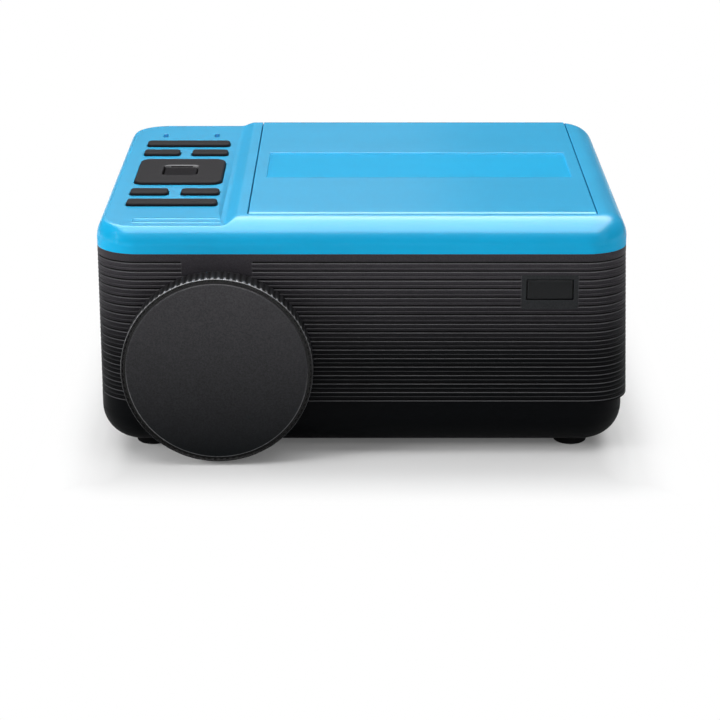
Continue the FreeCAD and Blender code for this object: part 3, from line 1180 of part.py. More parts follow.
def write_parts():
    """Recompute, refuse anything unsound, then write one STEP file for each piece."""
    doc.recompute()
    for thing in doc.Objects:
        if "Invalid" in thing.State or "Error" in thing.State:
            raise ValueError("%s (%s) is not sound: %s" % (thing.Name, thing.Label, thing.State))
    os.makedirs("parts", exist_ok=True)
    for label, thing in pieces.items():
        shape = thing.Shape
        if shape.isNull() or not shape.isValid() or not shape.Solids:
            raise ValueError(label + " has no sound solid")
        shape.exportStep("parts/%s.step" % label)
        print("%-20s solids %2d  volume %9.1f" % (label, len(shape.Solids), shape.Volume))


write_parts()
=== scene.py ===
import math

import bpy
import numpy as np
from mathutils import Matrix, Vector
from mathutils.geometry import delaunay_2d_cdt


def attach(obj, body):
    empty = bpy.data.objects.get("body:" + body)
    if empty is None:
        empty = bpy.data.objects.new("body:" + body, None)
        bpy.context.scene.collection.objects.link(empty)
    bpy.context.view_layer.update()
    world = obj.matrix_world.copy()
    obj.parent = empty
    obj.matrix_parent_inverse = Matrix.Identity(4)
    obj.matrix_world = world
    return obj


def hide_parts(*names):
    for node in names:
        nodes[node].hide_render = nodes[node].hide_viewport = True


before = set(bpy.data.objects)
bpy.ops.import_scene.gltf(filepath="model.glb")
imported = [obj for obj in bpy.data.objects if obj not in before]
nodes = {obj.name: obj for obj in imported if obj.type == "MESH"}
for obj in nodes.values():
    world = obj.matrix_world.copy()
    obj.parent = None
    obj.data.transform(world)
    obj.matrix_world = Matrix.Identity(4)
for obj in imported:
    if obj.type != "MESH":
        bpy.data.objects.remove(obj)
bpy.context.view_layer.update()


# ---- camera, table and lamps ---------------------------------------------------------------------
# The projector stands on a plain white table in a light tent: a small lamp behind and above throws
# a soft shadow forwards, larger lamps light the matt surfaces, and two white screens, over it and
# behind it, are what the gloss mirrors. The table fades to pure white beside the shadow.

camera = bpy.data.cameras.new("camera")
camera.lens = 118.52
camera.sensor_width = 36.0
camera_stand = bpy.data.objects.new("camera", camera)
camera_stand.location = (-0.0018, -1.06754, 0.37119)
camera_stand.rotation_euler = (math.radians(90 - 18.546), 0, 0)
bpy.context.scene.collection.objects.link(camera_stand)
bpy.context.scene.camera = camera_stand
bpy.context.scene.view_settings.view_transform = "Standard"


def lamp(name, place, aim, width, depth, power, matt=True, gloss=False):
    """Soft rectangular lamp that looks from its place towards a point; seen by matt or by gloss."""
    light = bpy.data.lights.new(name, "AREA")
    light.shape, light.size, light.size_y, light.energy = "RECTANGLE", width, depth, power
    holder = bpy.data.objects.new(name, light)
    holder.location = place
    holder.rotation_euler = (Vector(aim) - Vector(place)).to_track_quat("-Z", "Y").to_euler()
    holder.visible_diffuse, holder.visible_glossy = matt, gloss
    bpy.context.scene.collection.objects.link(holder)


lamp("rear_lamp", (0.0, 0.62, 1.35), (0, 0, 0.05), 0.35, 0.25, 9.0)
lamp("top_lamp", (0.0, -0.15, 1.25), (0, 0, 0.05), 1.5, 1.0, 9.2)
lamp("front_lamp", (-0.2, -1.25, 0.75), (0, -0.1, 0.06), 0.9, 0.5, 1.2)
lamp("left_lamp", (-1.05, -0.5, 0.4), (0, 0, 0.06), 0.4, 0.5, 10.0)
lamp("right_lamp", (0.95, -0.75, 0.4), (0, 0, 0.06), 0.4, 0.5, 3.2)
lamp("ceiling_screen", (0.0, 0.05, 1.3), (0, 0.05, 0), 2.6, 2.7, 185.0, False, True)
lamp("rear_screen", (-0.45, 1.2, 0.7), (0, 0, 0.1), 1.2, 0.5, 0.9, False, True)


def node(tree, kind, links=(), **values):
    """New node with its plain properties set, and each (socket, source) pair linked or written."""
    made = tree.nodes.new("ShaderNode" + kind)
    for key, value in values.items():
        setattr(made, key, value)
    for key, source in links:
        if isinstance(source, bpy.types.NodeSocket):
            tree.links.new(source, made.inputs[key])
        else:
            made.inputs[key].default_value = source
    return made


def worked_out(tree, operation, *inputs):
    """Result of a sum over its inputs: MULTIPLY_ADD is first times second plus third."""
    return node(tree, "Math", enumerate(inputs), operation=operation).outputs[0]


def remap(tree, value, span, goal=(0.0, 1.0), **values):
    """Value taken along a straight line from one span to another, and held at both ends."""
    ends = zip(("From Min", "From Max", "To Min", "To Max"), (*span, *goal))
    return node(tree, "MapRange", [("Value", value), *ends], **values).outputs["Result"]


PURE_WHITE, AMBIENT = (1, 1, 1, 1), 0.15
world = bpy.data.worlds.new("tent")
world.use_nodes = True
tree = world.node_tree
back = tree.nodes["Background"]
back.inputs["Color"].default_value = PURE_WHITE
back.inputs["Strength"].default_value = AMBIENT
seen = node(tree, "Background", [("Color", PURE_WHITE), ("Strength", 1.0)])
camera_ray = node(tree, "LightPath").outputs["Is Camera Ray"]
blend = node(tree, "MixShader", [(0, camera_ray), (1, back.outputs[0]), (2, seen.outputs[0])])
tree.links.new(blend.outputs[0], tree.nodes["World Output"].inputs["Surface"])
bpy.context.scene.world = world

TABLE_REACH, SHADE_FLOOR = 6.0, 0.08
table = bpy.data.meshes.new("table")
table.from_pydata([(TABLE_REACH * sx, TABLE_REACH * sy, 0) for sx, sy in
                   ((-1, -1), (1, -1), (1, 1), (-1, 1))], [], [(0, 1, 2, 3)])
table_top = bpy.data.objects.new("table", table)
bpy.context.scene.collection.objects.link(table_top)
white = bpy.data.materials.new("white_table")
white.use_nodes = True
tree = white.node_tree
sheet = tree.nodes["Principled BSDF"]
for key, value in (("Base Color", (0.8, 0.8, 0.8, 1)), ("Roughness", 0.6),
                   ("Specular IOR Level", 0.1)):
    sheet.inputs[key].default_value = value
glow = node(tree, "Emission", [("Color", PURE_WHITE), ("Strength", 1.0)])
place = node(tree, "TexCoord").outputs["Object"]
away = node(tree, "VectorMath", [(0, place)], operation="ABSOLUTE").outputs[0]
off_centre = node(tree, "SeparateXYZ", [(0, away)]).outputs
fade = 0.0
for axis, near, far, most in (("X", 0.101, 0.112, 0.4), ("X", 0.105, 0.145, 1.0),
                              ("Y", 0.108, 0.155, 1.0)):
    ramp = remap(tree, off_centre[axis], (near, far), (SHADE_FLOOR, most),
                 interpolation_type="SMOOTHSTEP")
    fade = worked_out(tree, "MAXIMUM", fade, ramp)
camera_ray = node(tree, "LightPath").outputs["Is Camera Ray"]
share = worked_out(tree, "MULTIPLY", camera_ray, fade)
blend = node(tree, "MixShader", [(0, share), (1, sheet.outputs[0]), (2, glow.outputs[0])])
tree.links.new(blend.outputs[0], tree.nodes["Material Output"].inputs["Surface"])
table.materials.append(white)


# ---- lower housing -------------------------------------------------------------------------------
# Black moulded tub, rounded at its foot, with 17 grooves round it, two plain patches on its front
# and openings for the lens, window, sockets, grille and fan. Screws go up through its four hollow
# posts into the cover.

OFFSET = np.array([-1.05, 6.75, 0.0])           # from the casing's middle to the object's
WIDTH, DEPTH, CORNER = 230.0, 198.0, 19.0
FOOT, SEAM, TOP, WALL = 3.3, 91.7, 106.4, 2.5
RIGHT, FRONT, REAR = WIDTH / 2, -DEPTH / 2, DEPTH / 2
LENS_X, LENS_Z = -62.2, 43.2


def blended(tree, share, first, second):
    """Colour that goes from the first to the second by the share."""
    return node(tree, "Mix", [(0, share), (6, first), (7, second)], data_type="RGBA").outputs[2]


def socketed_group(name, ins, outs):
    """Empty shader group with named inputs (name, kind, value) and outputs (name, kind)."""
    group = bpy.data.node_groups.new(name, "ShaderNodeTree")
    for label, kind, value in ins:
        socket = group.interface.new_socket(label, in_out="INPUT", socket_type="NodeSocket" + kind)
        socket.default_value = value
    for label, kind in outs:
        group.interface.new_socket(label, in_out="OUTPUT", socket_type="NodeSocket" + kind)
    return group, group.nodes.new("NodeGroupInput"), group.nodes.new("NodeGroupOutput")


# Moulded grain: fine pits, slow mottling of the colour and an uneven gloss.
grain, taken, given = socketed_group(
    "moulded_grain",
    [("Colour", "Color", (0.5, 0.5, 0.5, 1)), ("Mottle", "Float", 0.05),
     ("Grain", "Float", 2500.0), ("Depth", "Float", 0.1), ("Rough", "Float", 0.5),
     ("Spread", "Float", 0.1), ("Speckle", "Float", 0.0)],
    [("Colour", "Color"), ("Roughness", "Float"), ("Normal", "Vector")])
place = node(grain, "TexCoord").outputs["Object"]
pits = node(grain, "TexNoise", [("Vector", place), ("Scale", taken.outputs["Grain"]),
                                ("Detail", 2.0), ("Roughness", 0.6)]).outputs["Fac"]
drift = node(grain, "TexNoise", [("Vector", place), ("Scale", 24.0), ("Detail", 4.0)]).outputs["Fac"]
swing, spots = (remap(grain, noise, (0.3, 0.7), (-1.0, 1.0)) for noise in (drift, pits))
strength = worked_out(grain, "MULTIPLY_ADD", swing, taken.outputs["Mottle"], 1.0)
strength = worked_out(grain, "MULTIPLY_ADD", spots, taken.outputs["Speckle"], strength)
toned = node(grain, "VectorMath", [(0, taken.outputs["Colour"]), ("Scale", strength)],
             operation="SCALE").outputs[0]
uneven = worked_out(grain, "MULTIPLY_ADD", pits, taken.outputs["Spread"], taken.outputs["Rough"])
bump = node(grain, "Bump", [("Height", pits), ("Strength", taken.outputs["Depth"]),
                            ("Distance", 0.0002)]).outputs["Normal"]
grain.links.new(toned, given.inputs["Colour"])
grain.links.new(uneven, given.inputs["Roughness"])
grain.links.new(bump, given.inputs["Normal"])

# Edge wear and painted shade: a mask of the outer edges, from the bevelled normal turning away
# from the true one; its colour is wear on most pieces, and painted shade on the keys and the
# window, whose edges it darkens.
wear_and_shade_group, taken, given = socketed_group(
    "edge_wear_and_shade", [("Width", "Float", 0.0004), ("Colour", "Color", (0.5, 0.5, 0.5, 1)),
                  ("Worn and shaded", "Color", (0.7, 0.7, 0.7, 1)), ("Share", "Float", 0.5)],
    [("Colour", "Color")])
soft = node(wear_and_shade_group, "Bevel", [("Radius", taken.outputs["Width"])], samples=4).outputs["Normal"]
true = node(wear_and_shade_group, "NewGeometry").outputs["True Normal"]
agree = node(wear_and_shade_group, "VectorMath", [(0, soft), (1, true)], operation="DOT_PRODUCT").outputs["Value"]
shares = worked_out(wear_and_shade_group, "MULTIPLY", remap(wear_and_shade_group, agree, (0.98, 0.8)), taken.outputs["Share"])
mixed = blended(wear_and_shade_group, shares, taken.outputs["Colour"], taken.outputs["Worn and shaded"])
wear_and_shade_group.links.new(mixed, given.inputs["Colour"])


def moulded(name, colour, rough, mottle=0.05, pits=2500.0, depth=0.1, spread=0.1, speckle=0.0,
            worn=None, share=0.4, low=None, reach=(0.0, 0.1), painted_highlight=None, apart=None, sheen=None,
            polish=None, **shader):
    """Moulded piece: grain and edge groups into one shader; the colour darkens towards low at the
    foot of a height span, a painted shade, and sheen fades the coat over it, a painted sheen on
    the top; the mesh's three marks bring in a painted highlight, painted black shade, and the tone
    or coat of a part set apart."""
    material = bpy.data.materials.new(name)
    material.use_nodes = True
    tree = material.node_tree
    bsdf = tree.nodes["Principled BSDF"]
    skin = node(tree, "Group", node_tree=grain)
    for key, value in (("Colour", (*colour, 1)), ("Mottle", mottle), ("Grain", pits),
                       ("Depth", depth), ("Rough", rough), ("Spread", spread),
                       ("Speckle", speckle)):
        skin.inputs[key].default_value = value
    # Painted shade and painted sheen by height: darker colour and a thinner coat towards the foot.
    if low or sheen:
        place = node(tree, "TexCoord").outputs["Object"]
        height = node(tree, "SeparateXYZ", [(0, place)]).outputs["Z"]
        rise = remap(tree, height, reach)
    tone = None
    if low:
        tone = blended(tree, rise, (*low, 1), (*colour, 1))
    if painted_highlight or polish:
        mark = node(tree, "Attribute", attribute_name="painted_light_and_tone_marks").outputs["Vector"]
        mark = node(tree, "SeparateXYZ", [(0, mark)]).outputs
    # The first mark paints a highlight, the second paints black shade, over the tone.
    if painted_highlight:
        for share_of, goal in ((mark[2], apart or colour), (mark[0], painted_highlight), (mark[1], (0, 0, 0))):
            tone = blended(tree, share_of, tone or (*colour, 1), (*goal, 1))
    if polish:
        tree.links.new(remap(tree, mark[2], (0.0, 1.0), polish), bsdf.inputs["Coat Weight"])
    if tone:
        tree.links.new(tone, skin.inputs["Colour"])
    if sheen:
        tree.links.new(remap(tree, rise, (0.0, 1.0), sheen), bsdf.inputs["Coat Weight"])
    edge = node(tree, "Group", node_tree=wear_and_shade_group)
    edge.inputs["Worn and shaded"].default_value = (*(worn or [min(1, c * 1.5 + 0.02) for c in colour]), 1)
    edge.inputs["Share"].default_value = share
    tree.links.new(skin.outputs["Colour"], edge.inputs["Colour"])
    tree.links.new(edge.outputs["Colour"], bsdf.inputs["Base Color"])
    tree.links.new(skin.outputs["Roughness"], bsdf.inputs["Roughness"])
    tree.links.new(skin.outputs["Normal"], bsdf.inputs["Normal"])
    for key, value in shader.items():
        bsdf.inputs[key.replace("_", " ")].default_value = value
    return material


def dress(material, *names):
    """Give carried-over nodes a finish."""
    for name in names:
        slots = nodes[name].material_slots
        if slots:
            for slot in slots:
                slot.material = material
        else:
            nodes[name].data.materials.append(material)


def inset(u, v, width=WIDTH, depth=DEPTH, corner=CORNER):
    """Distance inwards from a rounded rectangle's outline, and the unit inward direction."""
    qx, qy = np.abs(u) - (width / 2 - corner), np.abs(v) - (depth / 2 - corner)
    ox, oy = np.maximum(qx, 0), np.maximum(qy, 0)
    out = np.hypot(ox, oy)
    inside = np.minimum(np.maximum(qx, qy), 0)
    round_part = out > 0
    safe = np.where(round_part, out, 1)
    gx = np.where(round_part, ox / safe, (qx > qy) * 1.0)
    gy = np.where(round_part, oy / safe, (qx <= qy) * 1.0)
    return corner - (out + inside), -gx * np.sign(u), -gy * np.sign(v)


def outline(x, y, width, depth, corner, steps=8):
    """Points round a rounded rectangle: four quarter circles joined by straight sides."""
    turn = np.linspace(0, math.pi / 2, steps + 1)
    rows = []
    for quarter, (sx, sy) in enumerate(((1, 1), (-1, 1), (-1, -1), (1, -1))):
        angle = turn + quarter * math.pi / 2
        rows.append(np.column_stack([x + sx * (width / 2 - corner) + corner * np.cos(angle),
                                     y + sy * (depth / 2 - corner) + corner * np.sin(angle)]))
    return np.vstack(rows)


def grown(shape, by, steps=8):
    """Outline of a rounded rectangle (x, y, width, depth, corner) moved outwards by a distance."""
    x, y, width, depth, corner = shape
    return outline(x, y, width + 2 * by, depth + 2 * by, corner + by, steps)


def circle(x, y, radius, steps=6):
    """Points round a circle, as a rounded rectangle that is all corner."""
    return outline(x, y, 2 * radius, 2 * radius, radius, steps)


def plan(loops, lines, keep):
    """Flat triangles whose edges follow closed loops and open lines; keep(u, v) says which stay."""
    points, edges, count = [], [], 0
    for closed, group in ((True, loops), (False, lines)):
        for path in group:
            index = np.arange(count, count + len(path))
            pairs = np.column_stack([index, np.roll(index, -1)])
            edges += (pairs if closed else pairs[:-1]).tolist()
            points.append(np.asarray(path, float))
            count += len(path)
    flat = np.vstack(points)
    co, _, faces, *_ = delaunay_2d_cdt([Vector(p) for p in flat.tolist()], edges, [], 0, 1e-4, False)
    co, faces = np.array([tuple(c) for c in co]), np.array(faces)
    middle = co[faces].mean(1)
    return co, faces[keep(middle[:, 0], middle[:, 1])]


def unit(vectors):
    """Each vector divided by its length."""
    return vectors / np.maximum(np.linalg.norm(vectors, axis=-1, keepdims=True), 1e-12)


def facing(surface, u, v, step=0.004):
    """Unit normals of surface(u, v): the cross product of its two central differences."""
    along = surface(u + step, v) - surface(u - step, v)
    across = surface(u, v + step) - surface(u, v - step)
    return unit(np.cross(along, across))


def rim(co, faces):
    """Boundary edges of a triangle sheet, each as it runs in its own triangle."""
    edges = np.vstack([faces[:, [0, 1]], faces[:, [1, 2]], faces[:, [2, 0]]])
    keys = np.sort(edges, 1)
    _, first, counts = np.unique(keys, axis=0, return_index=True, return_counts=True)
    return edges[first[counts == 1]]


SHARP = 0.7                                     # cosine of a bend of about 45 degrees


def shell(co, faces, outside, inside, flip=False):
    """Two skins over one plan, closed at their rims, as (points, normals, triangles) patches; a
    wall takes the mean direction of its neighbours where they turn by less than 45 degrees."""
    u, v = co[:, 0], co[:, 1]
    outer, inner = outside(u, v), inside(u, v)
    n_out, n_in = facing(outside, u, v), -facing(inside, u, v)
    edge = rim(co, faces)
    a, b = edge[:, 0], edge[:, 1]
    corners = np.stack([outer[a], outer[b], inner[b], inner[a]], 1)
    flat = unit(np.cross(corners[:, 3] - corners[:, 0], corners[:, 1] - corners[:, 0]))
    before, after = np.zeros(len(co), int), np.zeros(len(co), int)
    before[b], after[a] = np.arange(len(edge)), np.arange(len(edge))
    ends = [unit(flat + beside * ((flat * beside).sum(1, keepdims=True) > SHARP))
            for beside in (flat[before[a]], flat[after[b]])]
    n_side = np.stack([ends[0], ends[1], ends[1], ends[0]], 1)
    quads = np.arange(len(edge) * 4).reshape(-1, 4)
    sides = np.vstack([quads[:, [0, 2, 1]], quads[:, [0, 3, 2]]])
    patches = [(outer, n_out, faces), (inner, n_in, faces[:, ::-1]),
               (corners.reshape(-1, 3), n_side.reshape(-1, 3), sides)]
    if flip:
        patches = [(p, -n, f[:, ::-1]) for p, n, f in patches]
    return patches


def solid(name, patches, material, body, replaced=(), painted_light_and_tone_marks=None):
    """One mesh from patches in millimetres: welded, with each patch's own normals kept; the marks
    give each point the painted highlight, painted shade and set-apart share that its material
    reads."""
    points = np.vstack([p for p, _, _ in patches]) + OFFSET
    normals = np.vstack([n for _, n, _ in patches])
    starts = np.cumsum([0] + [len(p) for p, _, _ in patches[:-1]])
    faces = np.vstack([f + start for start, (_, _, f) in zip(starts, patches)])
    _, first, weld = np.unique(np.round(points, 4), axis=0, return_index=True, return_inverse=True)
    weld = weld.reshape(-1)
    joined = weld[faces]
    good = ((joined[:, 0] != joined[:, 1]) & (joined[:, 1] != joined[:, 2])
            & (joined[:, 2] != joined[:, 0]))
    joined, corner_normals = joined[good], normals[faces[good]].reshape(-1, 3)
    mesh = bpy.data.meshes.new(name)
    mesh.from_pydata((points[first] * 0.001).tolist(), [], joined.tolist())
    mesh.polygons.foreach_set("use_smooth", np.ones(len(mesh.polygons), bool))
    mesh.normals_split_custom_set(corner_normals.tolist())
    if painted_light_and_tone_marks is not None:
        shade = mesh.attributes.new("painted_light_and_tone_marks", "FLOAT_VECTOR", "POINT")
        marks = np.zeros((len(first), 3))
        for column, mark in enumerate(painted_light_and_tone_marks(*(points[first] - OFFSET).T)):
            marks[:, column] = mark
        shade.data.foreach_set("vector", marks.ravel())
    mesh.materials.append(material)
    made = bpy.data.objects.new(name, mesh)
    bpy.context.scene.collection.objects.link(made)
    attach(made, body)
    if replaced:
        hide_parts(*replaced)
    return made


RIBS, RIB_FIRST, RIB_LAST = 17, SEAM - 3.8, 25.6
RIB_PITCH = (RIB_FIRST - RIB_LAST) / (RIBS - 1)
BASE = 15.0                                     # radius of the rounding at the tub's foot
FOLD = FOOT + BASE
BADGE = (LENS_X - 15.0, LENS_X + 15.0, 82.1, 88.5)
WINDOW = (80.9, 75.8, 20.5, 9.3)
SURROUND = (WINDOW[0] - 12.15, WINDOW[0] + 12.15, 67.15, 82.35)
GRILLE_Y, GRILLE_LOW, GRILLE_HIGH, PROUD = 80.0, 24.1, 88.4, 2.1
# One pitch of the ribs as (way down, depth into the wall), then how bright the painted highlight
# on its lip is and how dark the painted shade along its bottom.
RIB_SHAPE = np.array([(-0.5, 0.0), (-0.44, 0.03), (-0.38, 0.42), (-0.32, 0.5), (0.16, 0.5),
                      (0.24, 0.46), (0.56, 0.08), (0.7, 0.0), (0.9, 0.0), (1.9, 0.06),
                      (2.02, 0.1), (2.08, 0.32), (2.2, 0.32), (2.46, 0.04), (2.6, 0.0),
                      (3.3, 0.0)])
LIP_HIGHLIGHT = np.array([(-0.5, 0.0), (0.24, 0.0), (0.34, 1.0), (0.56, 1.0), (0.7, 0.0), (2.2, 0.0),
                      (2.3, 0.35), (2.46, 0.35), (2.6, 0.0)])
PIT_SHADE = np.array([(-0.5, 0.0), (-0.38, 1.0), (0.16, 1.0), (0.24, 0.6), (0.34, 0.0), (2.02, 0.0),
                      (2.08, 0.7), (2.2, 0.7), (2.28, 0.0)])


def rib_line(z, shape):
    """Value of one pitch of a rib profile at height z, zero above and below the ribs."""
    below = RIB_FIRST - z
    turn = np.mod(below + 0.5, RIB_PITCH) - 0.5
    ribbed = (below > -0.5) & (below < RIB_PITCH * (RIBS - 1) + 1.0)
    return np.where(ribbed, np.interp(turn, shape[:, 0], shape[:, 1]), 0.0)


def on_patch(x, y, z, area):
    """Points of the front wall between a patch's left and right, and its foot and top."""
    x0, x1, z0, z1 = area
    return (y < FRONT + 1) & (x > x0) & (x < x1) & (z > z0) & (z < z1)


def bare(x, y, z):
    """Where the wall is left plain: two patches on the front, and beside the grille."""
    beside_grille = (x > RIGHT - 3) & (np.abs(y) < GRILLE_Y + 0.8)
    return beside_grille | on_patch(x, y, z, BADGE) | on_patch(x, y, z, SURROUND)


def smoothstep(t):
    """Soft step from 0 to 1: three t squared less two t cubed, with t held between 0 and 1."""
    t = np.clip(t, 0, 1)
    return t * t * (3 - 2 * t)


def swell(z):
    """How far the right side stands out: straight from nothing at the grille's top to its foot."""
    return PROUD * np.clip((GRILLE_HIGH - z) / (GRILLE_HIGH - RIB_LAST), 0, 1) * (z > GRILLE_LOW)


def tub(thickness):
    """Skin of the tub, folded up from a flat plan: base, quarter-round fillet, then the wall."""
    def skin(u, v):
        """A quarter circle within a base's width of the outline; beyond it, way out is height."""
        d, gx, gy = inset(u, v)
        d, over = np.maximum(d, 0), np.minimum(d, 0)
        x, y = u - gx * over, v - gy * over
        z = np.where(d < BASE, FOLD - np.sqrt(np.maximum(BASE ** 2 - (BASE - d) ** 2, 0)), FOOT)
        z = z - over
        if thickness:
            lean = np.where(d < BASE, (BASE - d) / BASE, 0)
            rise = np.sqrt(1 - lean ** 2)
            x, y, z = x + gx * lean * thickness, y + gy * lean * thickness, z + rise * thickness
        else:
            depth = np.where(bare(x, y, z), 0, rib_line(z, RIB_SHAPE)) * (over < 0)
            depth -= swell(z) * smoothstep((x - RIGHT + CORNER) / (CORNER * 0.9)) * (over < 0)
            x, y = x + gx * depth, y + gy * depth
        return np.column_stack([x, y, z])
    return skin


def on_front(x, z):
    """Plan point that folds up to (x, z) on the front wall."""
    x, z = np.asarray(x, float), np.asarray(z, float)
    low = BASE - np.sqrt(np.maximum(BASE ** 2 - np.minimum(z - FOLD, 0) ** 2, 0))
    return np.column_stack([x + 0 * z, FRONT - np.maximum(z - FOLD, 0) + low + 0 * x])


def on_rear(x, z):
    """The same for the rear wall: the front's point mirrored."""
    return on_front(x, z) * (1, -1)


def on_right(y, z):
    """The same for the right wall above the fillet: as far out as it stands up."""
    y, z = np.asarray(y, float), np.asarray(z, float)
    return np.column_stack([RIGHT + np.maximum(z - FOLD, 0), y])


def ring_of(point, x0, x1, z0, z1, corner=0.0, steps=4):
    """Closed loop of plan points for an upright rectangle on one wall."""
    if corner:
        loop = outline((x0 + x1) / 2, (z0 + z1) / 2, x1 - x0, z1 - z0, corner, steps)
    else:
        loop = np.array([(x0, z0), (x1, z0), (x1, z1), (x0, z1)], float)
    return point(loop[:, 0], loop[:, 1])


def within(u, v, loop):
    """Even-odd test of many points against one closed loop."""
    a, b = loop, np.roll(loop, -1, 0)
    inside = np.zeros(len(u), bool)
    for (x0, y0), (x1, y1) in zip(a, b):
        crosses = (y0 > v) != (y1 > v)
        reach = x0 + (v - y0) * (x1 - x0) / (y1 - y0 if y1 != y0 else 1)
        inside ^= crosses & (u < reach)
    return inside


LENS_BORE, FAN_HALF, INLET_HALF, SLOT_WIDE, SLOT_ROUND = 30.3, 30.0, 12.0, 2.2, 1.05
PORTS = (17.0, 93.0, 21.0, 43.0)
INLET_X = (LENS_X + FAN_HALF + PORTS[0]) / 2
INLET = (INLET_X - INLET_HALF, INLET_X + INLET_HALF, 21.0, 35.0)
lens_turn = np.linspace(0, 2 * math.pi, 73)[:-1]
tub_holes = [
    on_front(LENS_X + LENS_BORE * np.cos(lens_turn), LENS_Z + LENS_BORE * np.sin(lens_turn)),
    ring_of(on_front, WINDOW[0] - WINDOW[2] / 2, WINDOW[0] + WINDOW[2] / 2,
            WINDOW[1] - WINDOW[3] / 2, WINDOW[1] + WINDOW[3] / 2, 0.4, 3),
    ring_of(on_rear, *PORTS, 1.0), ring_of(on_rear, *INLET, 0.8),
    ring_of(on_right, -GRILLE_Y, GRILLE_Y, GRILLE_LOW, GRILLE_HIGH, 0.6)]
VENT_HALF, VENT_LOW, VENT_PITCH, VENT_SLOTS = 25.8, LENS_Z - 28 + SLOT_WIDE, 5.0, 11
for row in range(VENT_SLOTS):
    z = VENT_LOW + VENT_PITCH * row
    tub_holes.append(ring_of(on_rear, LENS_X - VENT_HALF, LENS_X + VENT_HALF, z, z + SLOT_WIDE,
                             SLOT_ROUND, 4))
UNDER_FIRST, UNDER_PITCH, UNDER_MIDDLE, UNDER_LONG, UNDER_SLOTS = 18.6, 10.0, -37.0, 54.0, 6
for row in range(UNDER_SLOTS):
    x = UNDER_FIRST + UNDER_PITCH * row
    tub_holes.append(outline(x + SLOT_WIDE / 2, UNDER_MIDDLE, SLOT_WIDE, UNDER_LONG, SLOT_ROUND, 4))
POSTS = [(107.0 * sx, 83.0 * sy) for sx in (-1, 1) for sy in (-1, 1)]
HEAD_ROOM, TRIPOD = 2.9, 5.0
tub_holes += [circle(x, y, HEAD_ROOM) for x, y in POSTS]
tub_holes.append(circle(0, 0, TRIPOD, 8))

# Lines that the mesh follows: steps round the base's fillet, then each height where the wall bends.
turns = np.radians(np.arange(0, 91, 7.5))
levels = [BASE * (1 - math.cos(t)) for t in turns]
heights = [FOLD + 0.6, GRILLE_LOW - 0.06, GRILLE_LOW + 0.06, GRILLE_LOW + 0.4]
for rib in range(RIBS):
    heights += [RIB_FIRST - RIB_PITCH * rib - t for t in RIB_SHAPE[:, 0]]
heights += [SEAM - 0.9, SEAM]
heights = sorted({round(h, 4) for h in heights if h > FOLD})
levels += [-(h - FOLD) for h in heights]
CASING = (0, 0, WIDTH, DEPTH, CORNER)
tub_loops = [grown(CASING, -d, 12) for d in levels]
for x0, x1, z0, z1 in (BADGE, SURROUND):
    for grow in (-0.05, 0.05, 0.3, 0.45):
        tub_loops.append(ring_of(on_front, x0 - grow, x1 + grow, z0 - grow, z1 + grow))
tub_loops += tub_holes


def tub_kept(u, v):
    """Plan points up to the seam that lie in none of the holes."""
    keep = inset(u, v)[0] > -(SEAM - FOLD)
    for hole in tub_holes:
        keep &= ~within(u, v, hole)
    return keep


def rib_highlight_and_shade(x, y, z):
    """Painted highlight on each groove's lip and ends, painted shade along its bottom, window set
    apart.
    """
    plain = bare(x, y, z) | (inset(x, y)[0] > 1.2)
    ends = np.zeros(len(x), bool)
    for x0, x1, z0, z1 in (BADGE, SURROUND):
        ends |= on_patch(x, y, z, (x0 - 0.4, x0 - 0.02, z0, z1))
        ends |= on_patch(x, y, z, (x1 + 0.02, x1 + 0.4, z0, z1))
    bright = np.where(plain, 0, rib_line(z, LIP_HIGHLIGHT))
    dark = np.where(plain | ends, 0, rib_line(z, PIT_SHADE))
    return np.where(ends, 0.25, bright), dark, on_patch(x, y, z, SURROUND)


# Painted shade and sheen: darker and less glossy towards the foot; its marks paint a highlight on
# each rib lip and black shade in each groove.
shell_black = moulded("shell_black", (0.035, 0.032, 0.0375), 0.45, mottle=0.08, pits=2400.0,
                      depth=0.25, spread=0.14, speckle=0.25, worn=(0.03, 0.03, 0.032), share=0.3,
                      low=(0.0004, 0.0008, 0.0012), reach=(0.044, 0.1), painted_highlight=(0.068, 0.068, 0.072),
                      apart=(0.018, 0.0195, 0.021), sheen=(0.0, 0.15), Specular_IOR_Level=0.05,
                      Coat_Roughness=0.42)


def level(z):
    """Level plane, as a surface over the plan."""
    return lambda u, v: np.column_stack([u, v, np.full(len(u), float(z))])


def raised(surface, rise):
    """The same surface moved straight up by the rise."""
    return lambda u, v: surface(u, v) + (0, 0, rise)


def upright(x, y, width, depth, corner, low, high, hole=0.0):
    """Bar with a rounded-rectangle plan between two surfaces, with a round hole through it."""
    loops = [outline(x, y, width, depth, corner, 6)]
    if hole:
        loops.append(circle(x, y, hole))
    co, faces = plan(loops, [], lambda u, v: np.hypot(u - x, v - y) > hole * 0.98)
    return shell(co, faces, high, low)


def peg(x, y, radius, low, high, hole=0.0):
    """Round bar between two surfaces."""
    return upright(x, y, 2 * radius, 2 * radius, radius, low, high, hole)


